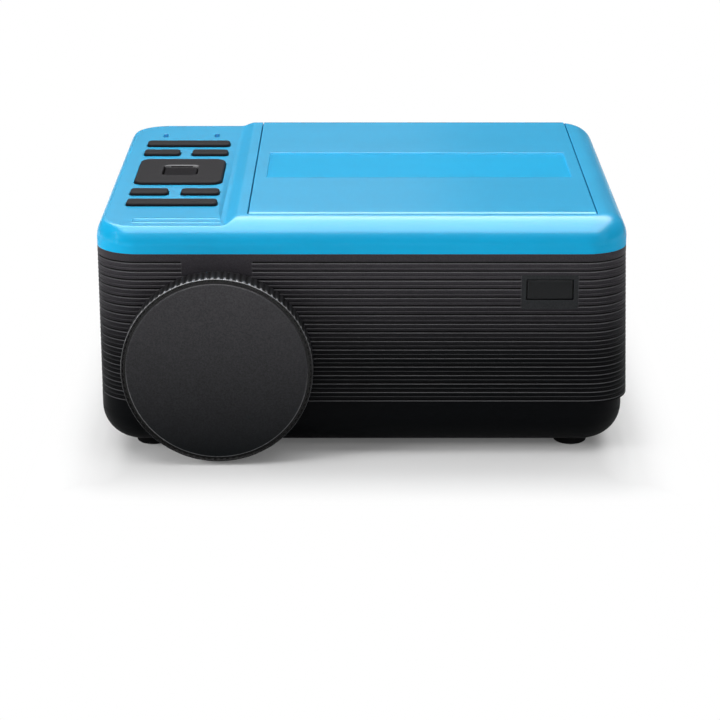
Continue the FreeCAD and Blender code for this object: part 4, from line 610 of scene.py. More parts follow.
co, faces = plan(tub_loops, [], tub_kept)
patches = shell(co, faces, tub(0), tub(WALL), flip=True)
in_wall = raised(tub(0), WALL / 2)
POST, COLLAR, SHANK, HEAD_TOP = 4.4, 3.0, 1.55, SEAM - 10
for x, y in POSTS:
    patches += peg(x, y, POST, in_wall, level(SEAM), HEAD_ROOM)
    patches += peg(x, y, COLLAR, level(HEAD_TOP), level(SEAM - 0.05), SHANK)
BOSS, BOSS_TOP = TRIPOD + WALL, FOOT + 8
patches += peg(0, 0, BOSS, in_wall, level(BOSS_TOP), TRIPOD + 0.02)
patches += peg(0, 0, BOSS, level(BOSS_TOP), level(BOSS_TOP + WALL))
STANDOFF, BOARD_UNDER = 3.2, 20.0
MAIN_BOARD, POWER_BOARD = ((12.2, 97.8), (-24.3, 87.3)), ((12.2, 89.8), (-73.3, -33.7))
for xs, ys in (MAIN_BOARD, POWER_BOARD):
    for x in xs:
        for y in ys:
            patches += peg(x, y, STANDOFF, in_wall, level(BOARD_UNDER))
SPEAKER_X, SPEAKER_Z, SPEAKER_Y, RAIL = 109.5, 50.0, (-71.35, -28.65), 6.0
for y in SPEAKER_Y:
    patches += upright(SPEAKER_X, y, RAIL, WALL, 0.2, in_wall, level(SPEAKER_Z))
solid("housing_shell", patches, shell_black, "casing", ("bottom_housing",),
      rib_highlight_and_shade)


# ---- blue cover ----------------------------------------------------------------------------------
# Satin blue moulding that closes the tub: rounded all round its top edge, with a sunken key tray
# on the lens side, a slope up from it, a wide opening for the lid, and bosses under its edges.

TOP_ROUND, TRAY, TRAY_BLUR = 11.0, 103.2, 0.25
SLOPE_FOOT, SLOPE_TOP, SLOPE, SLOPE_BLUR = -60.0, -53.5, 0.65, 0.6
SHOULDER = TOP - TOP_ROUND
LID_LEFT, LID_RIGHT, LID_GAP = -48.9, 101.3, 0.4
PIVOT_Y, PIVOT_Z, ROLL = -83.6, 103.4, 3.0
KEY_X, KEY_Y, KEY_TOP, KEY_GAP, BAR_ROW, SHORT_ROW = -84.1, -1.8, 104.5, 0.3, 56, 37.4
BAR_KEY, SHORT_KEY, PAD = (40.0, 9.0, 2.0), (17.1, 9.0, 2.0), (40.0, 45.0, 5.0)
SIDE_STEP = (BAR_KEY[0] - SHORT_KEY[0]) / 2
key_plans = {
    name: (KEY_X + SIDE_STEP * side, KEY_Y + row, *size) for name, side, row, size in (
        ("front_bar_key", 0, -BAR_ROW, BAR_KEY), ("front_left_key", -1, -SHORT_ROW, SHORT_KEY),
        ("front_right_key", 1, -SHORT_ROW, SHORT_KEY), ("navigation_pad", 0, 0, PAD),
        ("rear_left_key", -1, SHORT_ROW, SHORT_KEY), ("rear_right_key", 1, SHORT_ROW, SHORT_KEY),
        ("rear_bar_key", 0, BAR_ROW, BAR_KEY))}
EMBOSSED, EMBOSS = (-80.0, -86.8, 38.0, 6.4, 1.2), 0.22     # thin frame raised on the tray
LIGHT, LIGHT_STEP, LIGHT_ROW = (2.1, 6.7, 0.1), 12.65, 75.9
light_plans = [(KEY_X + LIGHT_STEP * side, KEY_Y + LIGHT_ROW, *LIGHT) for side in (-1, 1)]
HOLE_EDGE, LID_EDGE = 0.35, 0.3
tray_holes = [(x, y, w + 2 * KEY_GAP, d + 2 * KEY_GAP, r + KEY_GAP)
              for x, y, w, d, r in key_plans.values()] + light_plans


def beyond(u, v, x, y, width, depth, corner):
    """Distance outwards from a rounded rectangle in plan; negative inside it."""
    return -inset(u - x, v - y, width, depth, corner)[0]


def rounded_off(distance, radius):
    """Drop of a quarter-round edge at a distance from its wall."""
    near = np.clip(radius - distance, 0, radius)
    return radius - np.sqrt(radius ** 2 - near ** 2)


def cover_form(u, v):
    """Cover before its edges: the smooth lesser of a rounded box top and the tray with its slope."""
    d, gx, gy = inset(u, v)
    over = np.minimum(d, 0)
    x, y = u - gx * over, v - gy * over
    reach = np.clip(TOP_ROUND - d, 0, TOP_ROUND)
    dome = SHOULDER + np.sqrt(TOP_ROUND ** 2 - reach ** 2)
    along = (u - SLOPE_FOOT - 2 * SLOPE_BLUR) / SLOPE_BLUR
    tray = TRAY + SLOPE * SLOPE_BLUR * np.logaddexp(0, along)
    apart = (dome - tray) / TRAY_BLUR
    z = np.minimum(dome, tray) - TRAY_BLUR * np.log1p(np.exp(-np.abs(apart)))
    return np.column_stack([x, y, z + over])


def cover_skin(u, v):
    """Cover's outside: its form with the edges of the holes rounded off and the frame raised."""
    z = np.zeros(len(u))
    for hole in tray_holes:
        z = z - rounded_off(np.maximum(beyond(u, v, *hole), 0), HOLE_EDGE)
    z = z + EMBOSS * smoothstep(1.6 - np.abs(beyond(u, v, *EMBOSSED)) / 0.25)
    aside = np.maximum(LID_LEFT - LID_GAP - u, u - LID_RIGHT - LID_GAP)
    ahead = PIVOT_Y - ROLL - LID_GAP - v
    from_lid = np.hypot(np.maximum(aside, 0), np.maximum(ahead, 0))
    z = z - rounded_off(from_lid, LID_EDGE) * np.clip(inset(u, v)[0] - 0.3, 0, 1)
    return cover_form(u, v) + np.column_stack([z * 0, z * 0, z])


def cover_lining(u, v):
    """Cover's inside: its plain form moved in along the normals by nearly a wall."""
    return cover_form(u, v) - (WALL - 0.2) * facing(cover_form, u, v)


cover_levels = [-(SHOULDER - SEAM), -(SHOULDER - SEAM) + 0.25, -2.0, -0.4, 0.0, 0.15, 0.4, 0.8,
                1.3, 1.9, 2.3, 2.6, 2.9, 3.1, 3.3, 3.5, 3.8, 4.2, 4.8, 5.6, 6.6, 7.8, 9.2, 10.2, 11.0]
cover_loops = [grown(CASING, -d, 16) for d in cover_levels]
for hole in tray_holes:
    cover_loops += [grown(hole, by, 9) for by in (0, 0.05, 0.12, 0.22, HOLE_EDGE)]
cover_loops += [grown(EMBOSSED, by, 5) for by in (-0.4, -0.3, -0.15, 0.0, 0.15, 0.3, 0.4)]
opening = (LID_LEFT - LID_GAP, LID_RIGHT + LID_GAP, PIVOT_Y - ROLL - LID_GAP)
cover_lines = []
for grow in (0, 0.04, 0.1, 0.18, LID_EDGE):
    cover_lines.append([(opening[0] - grow, REAR + 0.4), (opening[0] - grow, opening[2] - grow),
                        (opening[1] + grow, opening[2] - grow), (opening[1] + grow, REAR + 0.4)])
for x in np.linspace(SLOPE_FOOT - 1, SLOPE_TOP + 2, 24):
    cover_lines.append([(x, FRONT - 3.7 + 0.001), (x, REAR + 3.7 - 0.001)])


def cover_kept(u, v):
    """Plan points down to the seam that lie in no key hole and not in the lid's opening."""
    d = inset(u, v)[0]
    keep = d > -(SHOULDER - SEAM)
    for hole in tray_holes:
        keep &= beyond(u, v, *hole) > 0
    keep &= ~((u > opening[0]) & (u < opening[1]) & (v > opening[2]) & (d > -0.4))
    return keep


cover_blue = moulded("cover_blue", (0.0, 0.335, 0.61), 0.5, mottle=0.03, pits=4200.0, depth=0.08,
                     spread=0.08, worn=(0.04, 0.4, 0.66), share=0.35, Specular_IOR_Level=0.02,
                     polish=(0.9, 0.34), Coat_Roughness=0.25, Coat_IOR=1.45)
co, faces = plan(cover_loops, cover_lines, cover_kept)
patches = shell(co, faces, cover_skin, cover_lining)
in_cover = raised(cover_skin, -1.0)
BOARD_TOP, BOARD_POST, PIN_LOW, DECK_END = 94.8, 2.5, PIVOT_Z - ROLL, 87.6
left_of_lid, right_of_lid = (-53.9, opening[0] - 0.01), (opening[1] + 0.01, 112.5)
hinge_reach, rear_reach = (opening[2], PIVOT_Y + ROLL + LID_GAP), (DECK_END, REAR - 1.2)
for (x0, x1), (y0, y1), low in (
        (left_of_lid, hinge_reach, PIN_LOW), (right_of_lid, hinge_reach, PIN_LOW),
        (left_of_lid, rear_reach, SEAM), ((right_of_lid[0], 104.2), rear_reach, SEAM)):
    patches += upright((x0 + x1) / 2, (y0 + y1) / 2, x1 - x0, y1 - y0, 0.2, level(low), in_cover)
for x, y in POSTS:
    patches += peg(x, y, COLLAR, level(SEAM), in_cover)
for x in (-20.5, 20.5):
    for y in (-67.0, 78.0):
        patches += peg(KEY_X + x, KEY_Y + y, BOARD_POST, level(BOARD_TOP), in_cover)


def wall_marks(x, y, z):
    """The upright band below the rounding is duller."""
    return 0.0, 0.0, smoothstep((SHOULDER + 2.5 - z) / 3.0)


solid("blue_cover", patches, cover_blue, "casing", ("top_cover",), wall_marks)


# ---- disc lid ------------------------------------------------------------------------------------
# Satin blue moulded lid over the disc well: rolled round its two hinge pins at the front, flat on
# top with a shallow recess, and curved down at the rear to a finger edge.

SHEET, TAIL_Y, TAIL_RISE = 2.2, 88.0, 8.8
RECESS, RECESS_DROP, LID_ROUND = (-43.3, 95.7, 0.9 - 23.6, 0.9 + 23.6), 0.7, 0.45


def patch(grid, wrap=False, flip=False):
    """Smooth patch over an n by m array of points, with the cross product of its two gradients as
    normals; wrap joins its last column to its first."""
    n, m = grid.shape[:2]
    along = np.roll(grid, -1, 1) - np.roll(grid, 1, 1) if wrap else np.gradient(grid, axis=1)
    across = np.gradient(grid, axis=0)
    normal = np.cross(along, across)
    size = np.linalg.norm(normal, axis=2, keepdims=True)
    normal = normal / np.maximum(size, 1e-12)
    if size[0].max() < 1e-6:
        normal[0] = normal[1].mean(0)
    if size[-1].max() < 1e-6:
        normal[-1] = normal[-2].mean(0)
    index = np.arange(n * m).reshape(n, m)
    right = np.roll(index, -1, 1) if wrap else index[:, 1:]
    left = index if wrap else index[:, :-1]
    a, b, c, d = (left[:-1], right[:-1], right[1:], left[1:])
    faces = np.vstack([np.stack([a, b, c], -1).reshape(-1, 3),
                       np.stack([a, c, d], -1).reshape(-1, 3)])
    if flip:
        normal, faces = -normal, faces[:, ::-1]
    return grid.reshape(-1, 3), normal.reshape(-1, 3), faces


def capped(loop, axis, normal):
    """Flat patch that closes a loop of 3-D points; axis is the one dropped in plan."""
    kept = [i for i in range(3) if i != axis]
    flat = loop[:, kept]
    co, faces = plan([flat], [], lambda u, v: within(u, v, flat))
    points = np.zeros((len(co), 3))
    points[:, kept] = co
    points[:, axis] = loop[0, axis]
    a, b, c = (points[faces[:, i]] for i in range(3))
    turned_away = (np.cross(b - a, c - a) @ normal) < 0
    faces[turned_away] = faces[turned_away][:, ::-1]
    return points, np.tile(normal, (len(points), 1)), faces


ROLL_TURN = 285.5
roll_turn = np.radians(np.linspace(ROLL_TURN, 0, 28))
roll = np.column_stack([PIVOT_Y - ROLL * np.sin(roll_turn), PIVOT_Z + ROLL * np.cos(roll_turn)])
tail_turn = np.radians(np.linspace(0, 90, 16))
tail = np.column_stack([TAIL_Y + TOP_ROUND * np.sin(tail_turn),
                        SHOULDER + TOP_ROUND * np.cos(tail_turn)])
edge_bands = np.array([-0.2, -0.1, 0.0, 0.1, 0.2])
flat_y = np.concatenate([np.linspace(-82, RECESS[2] - 2, 20), RECESS[2] + edge_bands,
                         np.linspace(RECESS[2] + 2, RECESS[3] - 2, 16), RECESS[3] + edge_bands,
                         np.linspace(RECESS[3] + 2, TAIL_Y - 1, 20)])
top_line = np.vstack([roll, np.column_stack([flat_y, np.full(len(flat_y), TOP)]), tail])
round_in = np.array([0.0, 0.03, 0.1, 0.2, 0.32, LID_ROUND])
lid_x = np.concatenate([LID_LEFT + round_in, np.linspace(LID_LEFT + 1.2, RECESS[0] - 1.5, 3),
                        RECESS[0] + edge_bands, np.linspace(RECESS[0] + 2, RECESS[1] - 2, 40),
                        RECESS[1] + edge_bands, np.linspace(RECESS[1] + 1.5, LID_RIGHT - 1.2, 3),
                        LID_RIGHT - round_in[::-1]])
step = np.gradient(top_line, axis=0)
out = unit(np.column_stack([-step[:, 1], step[:, 0]]))
from_end = np.minimum(lid_x - LID_LEFT, LID_RIGHT - lid_x)
taper = np.ones(len(top_line))
taper[:3], taper[-3:] = (0, 0.3, 0.7), (0.7, 0.3, 0)
drop = rounded_off(from_end, LID_ROUND)[None, :] * taper[:, None]
lid_grid = np.zeros((len(top_line), len(lid_x), 3))
lid_grid[..., 0] = lid_x
lid_grid[..., 1] = top_line[:, :1] - out[:, :1] * drop
lid_grid[..., 2] = top_line[:, 1:] - out[:, 1:] * drop
into = np.minimum(np.minimum(lid_grid[..., 0] - RECESS[0], RECESS[1] - lid_grid[..., 0]),
                  np.minimum(lid_grid[..., 1] - RECESS[2], RECESS[3] - lid_grid[..., 1]))
sunk = RECESS_DROP * smoothstep(into / 0.4 + 0.5)
lid_grid[..., 2] -= np.where(lid_grid[..., 2] > TOP - 1, sunk, 0)
tail_in = np.column_stack([TAIL_Y + TAIL_RISE * np.sin(tail_turn[::-1]),
                           SHOULDER + TAIL_RISE * np.cos(tail_turn[::-1])])
under_line = np.vstack([tail_in, [(-20.0, TOP - SHEET), tuple(roll[0])]])
under = np.zeros((len(under_line), len(lid_x), 3))
under[..., 0], under[..., 1], under[..., 2] = lid_x, under_line[:, :1], under_line[:, 1:]
lip = np.stack([lid_grid[-1], under[0]])
lid_patches = [patch(lid_grid), patch(lip), patch(under)]
for column, side in ((0, -1.0), (-1, 1.0)):
    loop = np.vstack([lid_grid[:, column], under[:-1, column]])
    lid_patches.append(capped(loop, 0, np.array([side, 0.0, 0.0])))


def recess_marks(x, y, z):
    """The recess's floor is duller than the lid round it."""
    inside = (x > RECESS[0]) & (x < RECESS[1]) & (y > RECESS[2]) & (y < RECESS[3])
    return 0.0, 0.0, inside & (z > TOP - 1) & (z < TOP - 0.3)


solid("disc_lid", lid_patches, cover_blue, "disc_lid", ("disc_lid",),
      recess_marks)


# ---- focus ring ----------------------------------------------------------------------------------
# Knurled black plastic ring that turns on the lens mount: 96 flutes, a rounded front lip, a thin
# web behind the cap and a hub that passes through the housing.

CAP_Y = -112.5
RING, RING_BACK, RIM_IN = 41.3, CAP_Y + 12.9, 39.3
HUB, HUB_IN, HUB_END, WEB = 30.0, 27.0, CAP_Y + 22.0, CAP_Y + 9.9


def turned(segments, angles=96, flute=None, middle=(LENS_X, LENS_Z)):
    """Closed body turned about a line along y: each point is (x + r sin t, y, z + r cos t)."""
    t = np.linspace(0, 2 * math.pi, angles + 1)[:-1]
    patches = []
    for segment in segments:
        r, y = np.array(segment, float).T
        radius = r[:, None] + np.zeros_like(t)
        if flute is not None:
            radius = radius - flute(r[:, None], y[:, None], t)
        grid = np.stack([middle[0] + radius * np.sin(t), y[:, None] + np.zeros_like(radius),
                         middle[1] + radius * np.cos(t)], -1)
        patches.append(patch(grid, wrap=True))
    return patches


def bend(r, y, radius, start, end, steps=5):
    """Arc of a profile round (r, y) between two angles in degrees, measured from outwards."""
    a = np.radians(np.linspace(start, end, steps + 1))
    return np.column_stack([r + radius * np.cos(a), y + radius * np.sin(a)]).tolist()


FLUTES, FLUTE_DEEP, FLUTE_HALF = 96, 0.5, 0.38


def knurl(r, y, t):
    """Depth of the grip flutes: one less the phase squared in each pitch, faded at both ends."""
    phase = np.mod(t * FLUTES / (2 * math.pi) + 0.5, 1) - 0.5
    hollow = FLUTE_DEEP * np.clip(1 - (phase / FLUTE_HALF) ** 2, 0, 1)
    share = smoothstep((RING_BACK + 0.1 - y) / 0.5) * smoothstep((y - CAP_Y - 0.75) / 0.25)
    return hollow * share * (r > RING - 1)


LIP_ROUND = 0.375
GROOVE_OUT, GROOVE_BACK = RING - 2 * LIP_ROUND, CAP_Y + 1.0
lip_turn = np.radians(np.linspace(180, 0, 9))
lip = np.column_stack([RING - LIP_ROUND + LIP_ROUND * np.cos(lip_turn),
                       CAP_Y + 0.65 - LIP_ROUND * np.sin(lip_turn)])
ring_side = [(RING, y) for y in (CAP_Y + 0.8, CAP_Y + 0.9, CAP_Y + 1.0, CAP_Y + 1.4, CAP_Y + 4,
                                 CAP_Y + 8, RING_BACK - 0.6)]
ring_segments = [
    [(RIM_IN, WEB), (RIM_IN, GROOVE_BACK)], [(RIM_IN, GROOVE_BACK), (GROOVE_OUT, GROOVE_BACK)],
    [(GROOVE_OUT, GROOVE_BACK), *lip.tolist(), *ring_side,
     *bend(RING - 0.4, RING_BACK - 0.4, 0.4, 0, 90)[1:], (HUB + 5, RING_BACK), (HUB, RING_BACK)],
    [(HUB, RING_BACK), (HUB, HUB_END)], [(HUB, HUB_END), (HUB_IN, HUB_END)],
    [(HUB_IN, HUB_END), (HUB_IN, WEB)], [(HUB_IN, WEB), (RIM_IN, WEB)]]


def tooth_highlight_and_shade(x, y, z):
    """Painted highlight on the front ends of the teeth, most at the ring's top; painted black shade
    in the cap's groove.
    """
    r = np.hypot(x - LENS_X, z - LENS_Z)
    ends = (r > RING - 0.12) & (y > CAP_Y + 0.5) & (y < CAP_Y + 1.5)
    highlight_strength = 0.2 + 0.8 * smoothstep((z - LENS_Z) / 25 + 0.1)
    return ends * highlight_strength, r < RING - 0.3


# Painted shade and sheen: darker and less glossy towards the foot; its marks paint a highlight on the
# teeth and black shade in the cap's groove.
ring_black = moulded("ring_black", (0.012, 0.012, 0.013), 0.36, mottle=0.08, pits=3800.0, depth=0.1,
                     spread=0.12, worn=(0.05, 0.05, 0.052), share=0.4, low=(0.002, 0.003, 0.004),
                     reach=(0.01, 0.085), painted_highlight=(0.3, 0.3, 0.31), sheen=(0.02, 0.5),
                     Specular_IOR_Level=0.15, Coat_Roughness=0.25)
solid("focus_ring", turned(ring_segments, FLUTES * 8, knurl), ring_black, "focus_ring",
      ("focus_ring",), tooth_highlight_and_shade)


# ---- lens cap ------------------------------------------------------------------------------------
# Plain black moulded disc that pushes into the ring and pulls straight off, with a grained face
# and a short skirt behind it.

CAP, CAP_SHEET, CAP_SKIRT, CAP_WALL = 39.2, 2.4, 6.0, 2.0
cap_face = [(r, CAP_Y) for r in np.linspace(0, CAP - 0.9, 14)]
cap_segments = [
    cap_face + bend(CAP - 0.5, CAP_Y + 0.5, 0.5, -90, 0, 6)
    + [(CAP, CAP_Y + 2), (CAP, CAP_Y + CAP_SKIRT - 0.3), (CAP - 0.3, CAP_Y + CAP_SKIRT)],
    [(CAP - 0.3, CAP_Y + CAP_SKIRT), (CAP - CAP_WALL, CAP_Y + CAP_SKIRT)],
    [(CAP - CAP_WALL, CAP_Y + CAP_SKIRT), (CAP - CAP_WALL, CAP_Y + CAP_SHEET)],
    [(CAP - CAP_WALL, CAP_Y + CAP_SHEET), (20, CAP_Y + CAP_SHEET), (0, CAP_Y + CAP_SHEET)]]
# Painted shade and sheen: darker and less glossy towards the foot; its marks paint a highlight on the
# rounded edge.
cap_black = moulded("cap_black", (0.033, 0.032, 0.035), 0.5, mottle=0.06, pits=1500.0, depth=0.5,
                    spread=0.12, speckle=0.3, worn=(0.05, 0.05, 0.052), share=0.4,
                    low=(0.0022, 0.0032, 0.0038), reach=(0.005, 0.085), painted_highlight=(0.08, 0.082, 0.085),
                    sheen=(0.02, 0.3), Specular_IOR_Level=0.06, Coat_Roughness=0.45)


def cap_highlight(x, y, z):
    """Painted highlight along the cap's rounded edge, most at its foot."""
    r = np.hypot(x - LENS_X, z - LENS_Z)
    highlight_strength = 0.15 + 0.85 * smoothstep((LENS_Z - z) / 20 + 0.3)
    return ((r > CAP - 0.42) & (r < CAP - 0.05) & (y < CAP_Y + 0.4)) * highlight_strength, 0.0


solid("lens_cap", turned(cap_segments, 192), cap_black, "lens_cap", ("lens_cap",),
      cap_highlight)


# ---- keys and pad --------------------------------------------------------------------------------
# Brown-black satin keys that stand a little above the tray, softly rounded on top, each with a
# flange under the cover and a stem down to its switch. The pad is a ring with the OK key in it.

HOLE_ROUND, RIM_WIDE = 0.6, 1.8


def block(x, y, width, depth, corner, low, high, edge, hole=None, rim_up=0.0):
    """Rounded-rectangle block with a quarter-round top edge; a hole has a rounded, raised rim."""
    bands = edge * (1 - np.cos(np.radians(np.linspace(0, 90, 6))))
    loops = [grown((x, y, width, depth, corner), -d, 6) for d in bands]
    if hole:
        loops += [grown((x, y, *hole), by, 6)
                  for by in (0, 0.03, 0.1, 0.2, 0.35, HOLE_ROUND, 1.0, RIM_WIDE)]

    def top(u, v):
        """Top level less the quarter-round drop at each edge, plus the rim's soft step."""
        z = high - rounded_off(np.maximum(-beyond(u, v, x, y, width, depth, corner), 0), edge)
        if hole:
            away = np.maximum(beyond(u, v, x, y, *hole), 0)
            z = z - rounded_off(away, HOLE_ROUND) + rim_up * smoothstep(1 - away / RIM_WIDE)
        return np.column_stack([u, v, z])

    def kept(u, v):
        """Inside the block's outline and outside its hole."""
        keep = beyond(u, v, x, y, width, depth, corner) < 0
        return keep & (beyond(u, v, x, y, *hole) > 0) if hole else keep
    return shell(*plan(loops, [], kept), top, level(low))


# The keys' edges are darkened: painted shade at the gaps round the keys.
key_looks = dict(mottle=0.06, pits=3000.0, depth=0.12, spread=0.12, speckle=0.12,
                 worn=(0.004, 0.004, 0.0045), share=0.75)
key_tone, edge_highlight = (0.0085, 0.008, 0.009), (0.23, 0.23, 0.235)
key_brown = moulded("key_brown", key_tone, 0.5, Specular_IOR_Level=0.042, **key_looks)
# The pad and OK key take a painted highlight from their marks.
pad_brown = moulded("pad_brown", key_tone, 0.5, painted_highlight=edge_highlight, Specular_IOR_Level=0.042, **key_looks)
ok_brown = moulded("ok_brown", key_tone, 0.5, painted_highlight=edge_highlight, Specular_IOR_Level=0.01, **key_looks)
PANEL_UNDER, SEAT, ROCK_GAP, FLANGE, STEM = TRAY - WALL, 0.3, 0.8, 1.0, 2.0
OK_HOLE, OK_CAP, OK_FOOT = (16.2, 18.8, 3.0), (15.0, 17.6, 2.4), (15.0, 15.0, 2.0)
OK_TOP, OK_STEP, PRESS_LOW = KEY_TOP - 0.7, KEY_TOP - 3.5, 98.9
for name, (x, y, width, depth, corner) in key_plans.items():
    if name == "navigation_pad":
        continue
    rocks = name.endswith("bar_key")
    flange_top = PANEL_UNDER - (ROCK_GAP if rocks else SEAT)
    patches = block(x, y, width, depth, corner, flange_top, KEY_TOP, 0.8)
    patches += block(x, y, width + 2, depth + 1, corner, flange_top - FLANGE, flange_top, 0.1)
    patches += block(x, y, STEM, STEM, 0.3, BOARD_TOP + SEAT if rocks else PRESS_LOW,
                     flange_top - FLANGE + 0.05, 0.05)
    solid(name, patches, key_brown, name, (name,))
flange_top = PANEL_UNDER - ROCK_GAP
patches = block(KEY_X, KEY_Y, *PAD, flange_top, KEY_TOP, 0.9, OK_HOLE, 0.1)
patches += block(KEY_X, KEY_Y, PAD[0] + 2, PAD[1] + 2, PAD[2], flange_top - FLANGE, flange_top, 0.1,
                 OK_HOLE)


def hole_highlight(x, y, z):
    """Painted highlight on the rounded edge at the rear of the OK key's hole."""
    away = beyond(x, y, KEY_X, KEY_Y, *OK_HOLE)
    behind = (away > 0.02) & (away < 0.55) & (y > KEY_Y + OK_HOLE[1] / 2 - 1.5) & (z > KEY_TOP - 1)
    return behind * smoothstep((OK_HOLE[0] / 2 + 0.6 - np.abs(x - KEY_X)) / 2), 0.0


def ok_highlight(x, y, z):
    """A faint painted highlight along the key's rear edge."""
    from_rear = KEY_Y + OK_CAP[1] / 2 - y
    return 0.25 * smoothstep(1.6 - from_rear / 0.7) * (z > OK_TOP - 1), 0.0


solid("navigation_pad", patches, pad_brown, "navigation_pad", ("navigation_pad",),
      hole_highlight)
patches = block(KEY_X, KEY_Y, *OK_CAP, OK_STEP, OK_TOP, 0.7)
patches += block(KEY_X, KEY_Y, *OK_FOOT, PRESS_LOW, OK_STEP + 0.05, 0.05)
solid("ok_key", patches, ok_brown, "ok_key", ("ok_key",), ok_highlight)


# ---- indicator lights ----------------------------------------------------------------------------
# Two light guides of dark blue tinted plastic, which fill the two slots behind the keys flush with
# the tray.

light_blue = moulded("light_blue", (0.0, 0.13, 0.33), 0.4, mottle=0.1, pits=1800.0, depth=0.03,
                     speckle=0.1, worn=(0.0, 0.02, 0.1), Specular_IOR_Level=0.02)
dress(light_blue, "indicator_lights")


# ---- side grille ---------------------------------------------------------------------------------
# Black moulded insert set in the right side: flush at its top, proud at its foot, ribbed like the
# tub, with two windows of level slots for the speaker and the intake.

def stand_up(patches):
    """Turn patches a quarter about x, so that what faced up faces the front."""
    return [(p[:, [0, 2, 1]] * (1, -1, 1), n[:, [0, 2, 1]] * (1, -1, 1), f) for p, n, f in patches]


SLOT, SLOT_MARGIN, PLAIN_ENDS = 1.6, 8.0, 2.5
SLOT_SPANS = ((-62.0, -38.0), (-5.5, 69.5))
grille_y, grille_z = GRILLE_Y - 0.1, (GRILLE_LOW + 0.1, GRILLE_HIGH - 0.1)
louvres = []
for y0, y1 in SLOT_SPANS:
    z = RIB_LAST + SLOT_MARGIN + RIB_PITCH / 2
    while z + SLOT < GRILLE_HIGH - SLOT_MARGIN:
        louvres.append(((y0 + y1) / 2, z + SLOT / 2, y1 - y0, SLOT, 0.75))
        z += RIB_PITCH


def beside_louvres(y):
    """Where the ribs run: farther from each window's middle than half its span and its ends."""
    ribbed = np.ones(len(y), bool)
    for y0, y1 in SLOT_SPANS:
        ribbed &= np.abs(y - (y0 + y1) / 2) > (y1 - y0) / 2 + PLAIN_ENDS
    return ribbed


def grille_skin(u, v):
    """Face of the insert: the swelling side less the ribs and the rounded edges."""
    edge = np.minimum(grille_y - np.abs(u), np.minimum(v - grille_z[0], grille_z[1] - v))
    depth = rib_line(v, RIB_SHAPE) * beside_louvres(u) + rounded_off(np.maximum(edge, 0), 0.3)
    for slot in louvres:
        depth = depth + rounded_off(np.maximum(beyond(u, v, *slot), 0), 0.25)
    return np.column_stack([RIGHT + swell(v) - depth, u, v])


def grille_back(u, v):
    """Flat back of the insert."""
    return np.column_stack([np.full(len(u), RIGHT - 1.1), u, v])


def grille_kept(u, v):
    """Points of the insert that lie in no slot."""
    keep = (np.abs(u) < grille_y) & (v > grille_z[0]) & (v < grille_z[1])
    for slot in louvres:
        keep &= beyond(u, v, *slot) > 0
    return keep


def grille_highlight_and_shade(x, y, z):
    """The tub's painted highlight on each lip and painted shade in each groove, on the face between
    the slots.
    """
    face = (x > RIGHT - 0.9) & beside_louvres(y)
    return face * rib_line(z, LIP_HIGHLIGHT), face * rib_line(z, PIT_SHADE)


def frame_of(grow):
    """The insert's four corners, drawn in by a distance."""
    y, low, high = grille_y - grow, grille_z[0] + grow, grille_z[1] - grow
    return [(-y, low), (y, low), (y, high), (-y, high)]


grille_loops = [frame_of(grow) for grow in (0, 0.04, 0.13, 0.3)]
for slot in louvres:
    grille_loops += [grown(slot, by, 4) for by in (0, 0.08, 0.25)]
grille_lines = [[(-grille_y, h), (grille_y, h)] for h in heights if grille_z[0] < h < grille_z[1]]
co, faces = plan(grille_loops, grille_lines, grille_kept)
solid("side_grille", shell(co, faces, grille_skin, grille_back), shell_black, "casing",
      ("side_grille",), grille_highlight_and_shade)


# ---- remote-control window -----------------------------------------------------------------------
# Smoked plastic plate over the remote's receiver, set in the front wall from inside up to its
# flange, with its face a hair below the wall.

PLATE_BACK, PLATE_GAP = -FRONT - 3.5, 0.95
patches = stand_up(block(WINDOW[0], WINDOW[1], WINDOW[2] - PLATE_GAP, WINDOW[3] - PLATE_GAP, 0.4,
                         PLATE_BACK, -FRONT - 0.12, 0.3))
patches += stand_up(block(WINDOW[0], WINDOW[1], WINDOW[2] - 0.2, WINDOW[3] + 2, 0.3, PLATE_BACK,
                          -FRONT - 2.55, 0.05))
# The plate's edges are painted black: painted shade in the gap round it.
smoked = moulded("smoked_window", (0.003, 0.0038, 0.0045), 0.34, mottle=0.1, pits=2600.0, depth=0.12,
                 speckle=0.3, worn=(0.0, 0.0, 0.0), share=0.9, Specular_IOR_Level=0.22)
solid("ir_window", patches, smoked, "casing", ("ir_window",))


# ---- feet, screws and tripod socket --------------------------------------------------------------
# Four round rubber feet, rounded at the bottom and pressed into the base by their spigots; plated
# steel screws, rods and pins, and a turned brass thread for a tripod.

foot_rubber = moulded("foot_rubber", (0.003, 0.003, 0.0032), 0.6, mottle=0.15, pits=1600.0,
                      depth=0.4, speckle=0.2, worn=(0.012, 0.012, 0.012), Specular_IOR_Level=0.1)
PAD_OUT, PAD_BEND, SPIGOT = 7.35, 1.0, 3.0
foot_segments = [
    [(0, 0), (4.6, 0), *bend(PAD_OUT - PAD_BEND, PAD_BEND, PAD_BEND, -90, 0, 8), (PAD_OUT, FOOT)],
    [(PAD_OUT, FOOT), (SPIGOT, FOOT)], [(SPIGOT, FOOT), (SPIGOT, FOOT + WALL)],
    [(SPIGOT, FOOT + WALL), (0, FOOT + WALL)]]
feet = []
FOOT_X, FOOT_Y = 93.0, 79.0
for x in (-FOOT_X, FOOT_X):
    for y in (-FOOT_Y, FOOT_Y):
        foot = stand_up(turned(foot_segments, 48, middle=(0, 0)))
        feet += [(p + (x, y, 0), n, f) for p, n, f in foot]
solid("rubber_feet", feet, foot_rubber, "casing", ("rubber_feet",))
plated = moulded("plated_steel", (0.42, 0.42, 0.43), 0.32, mottle=0.1, pits=900.0, depth=0.05,
                 spread=0.2, worn=(0.7, 0.7, 0.7), Metallic=1.0)
dress(plated, "housing_screws", "guide_rods", "lead_screw", "lid_hinge_pins")
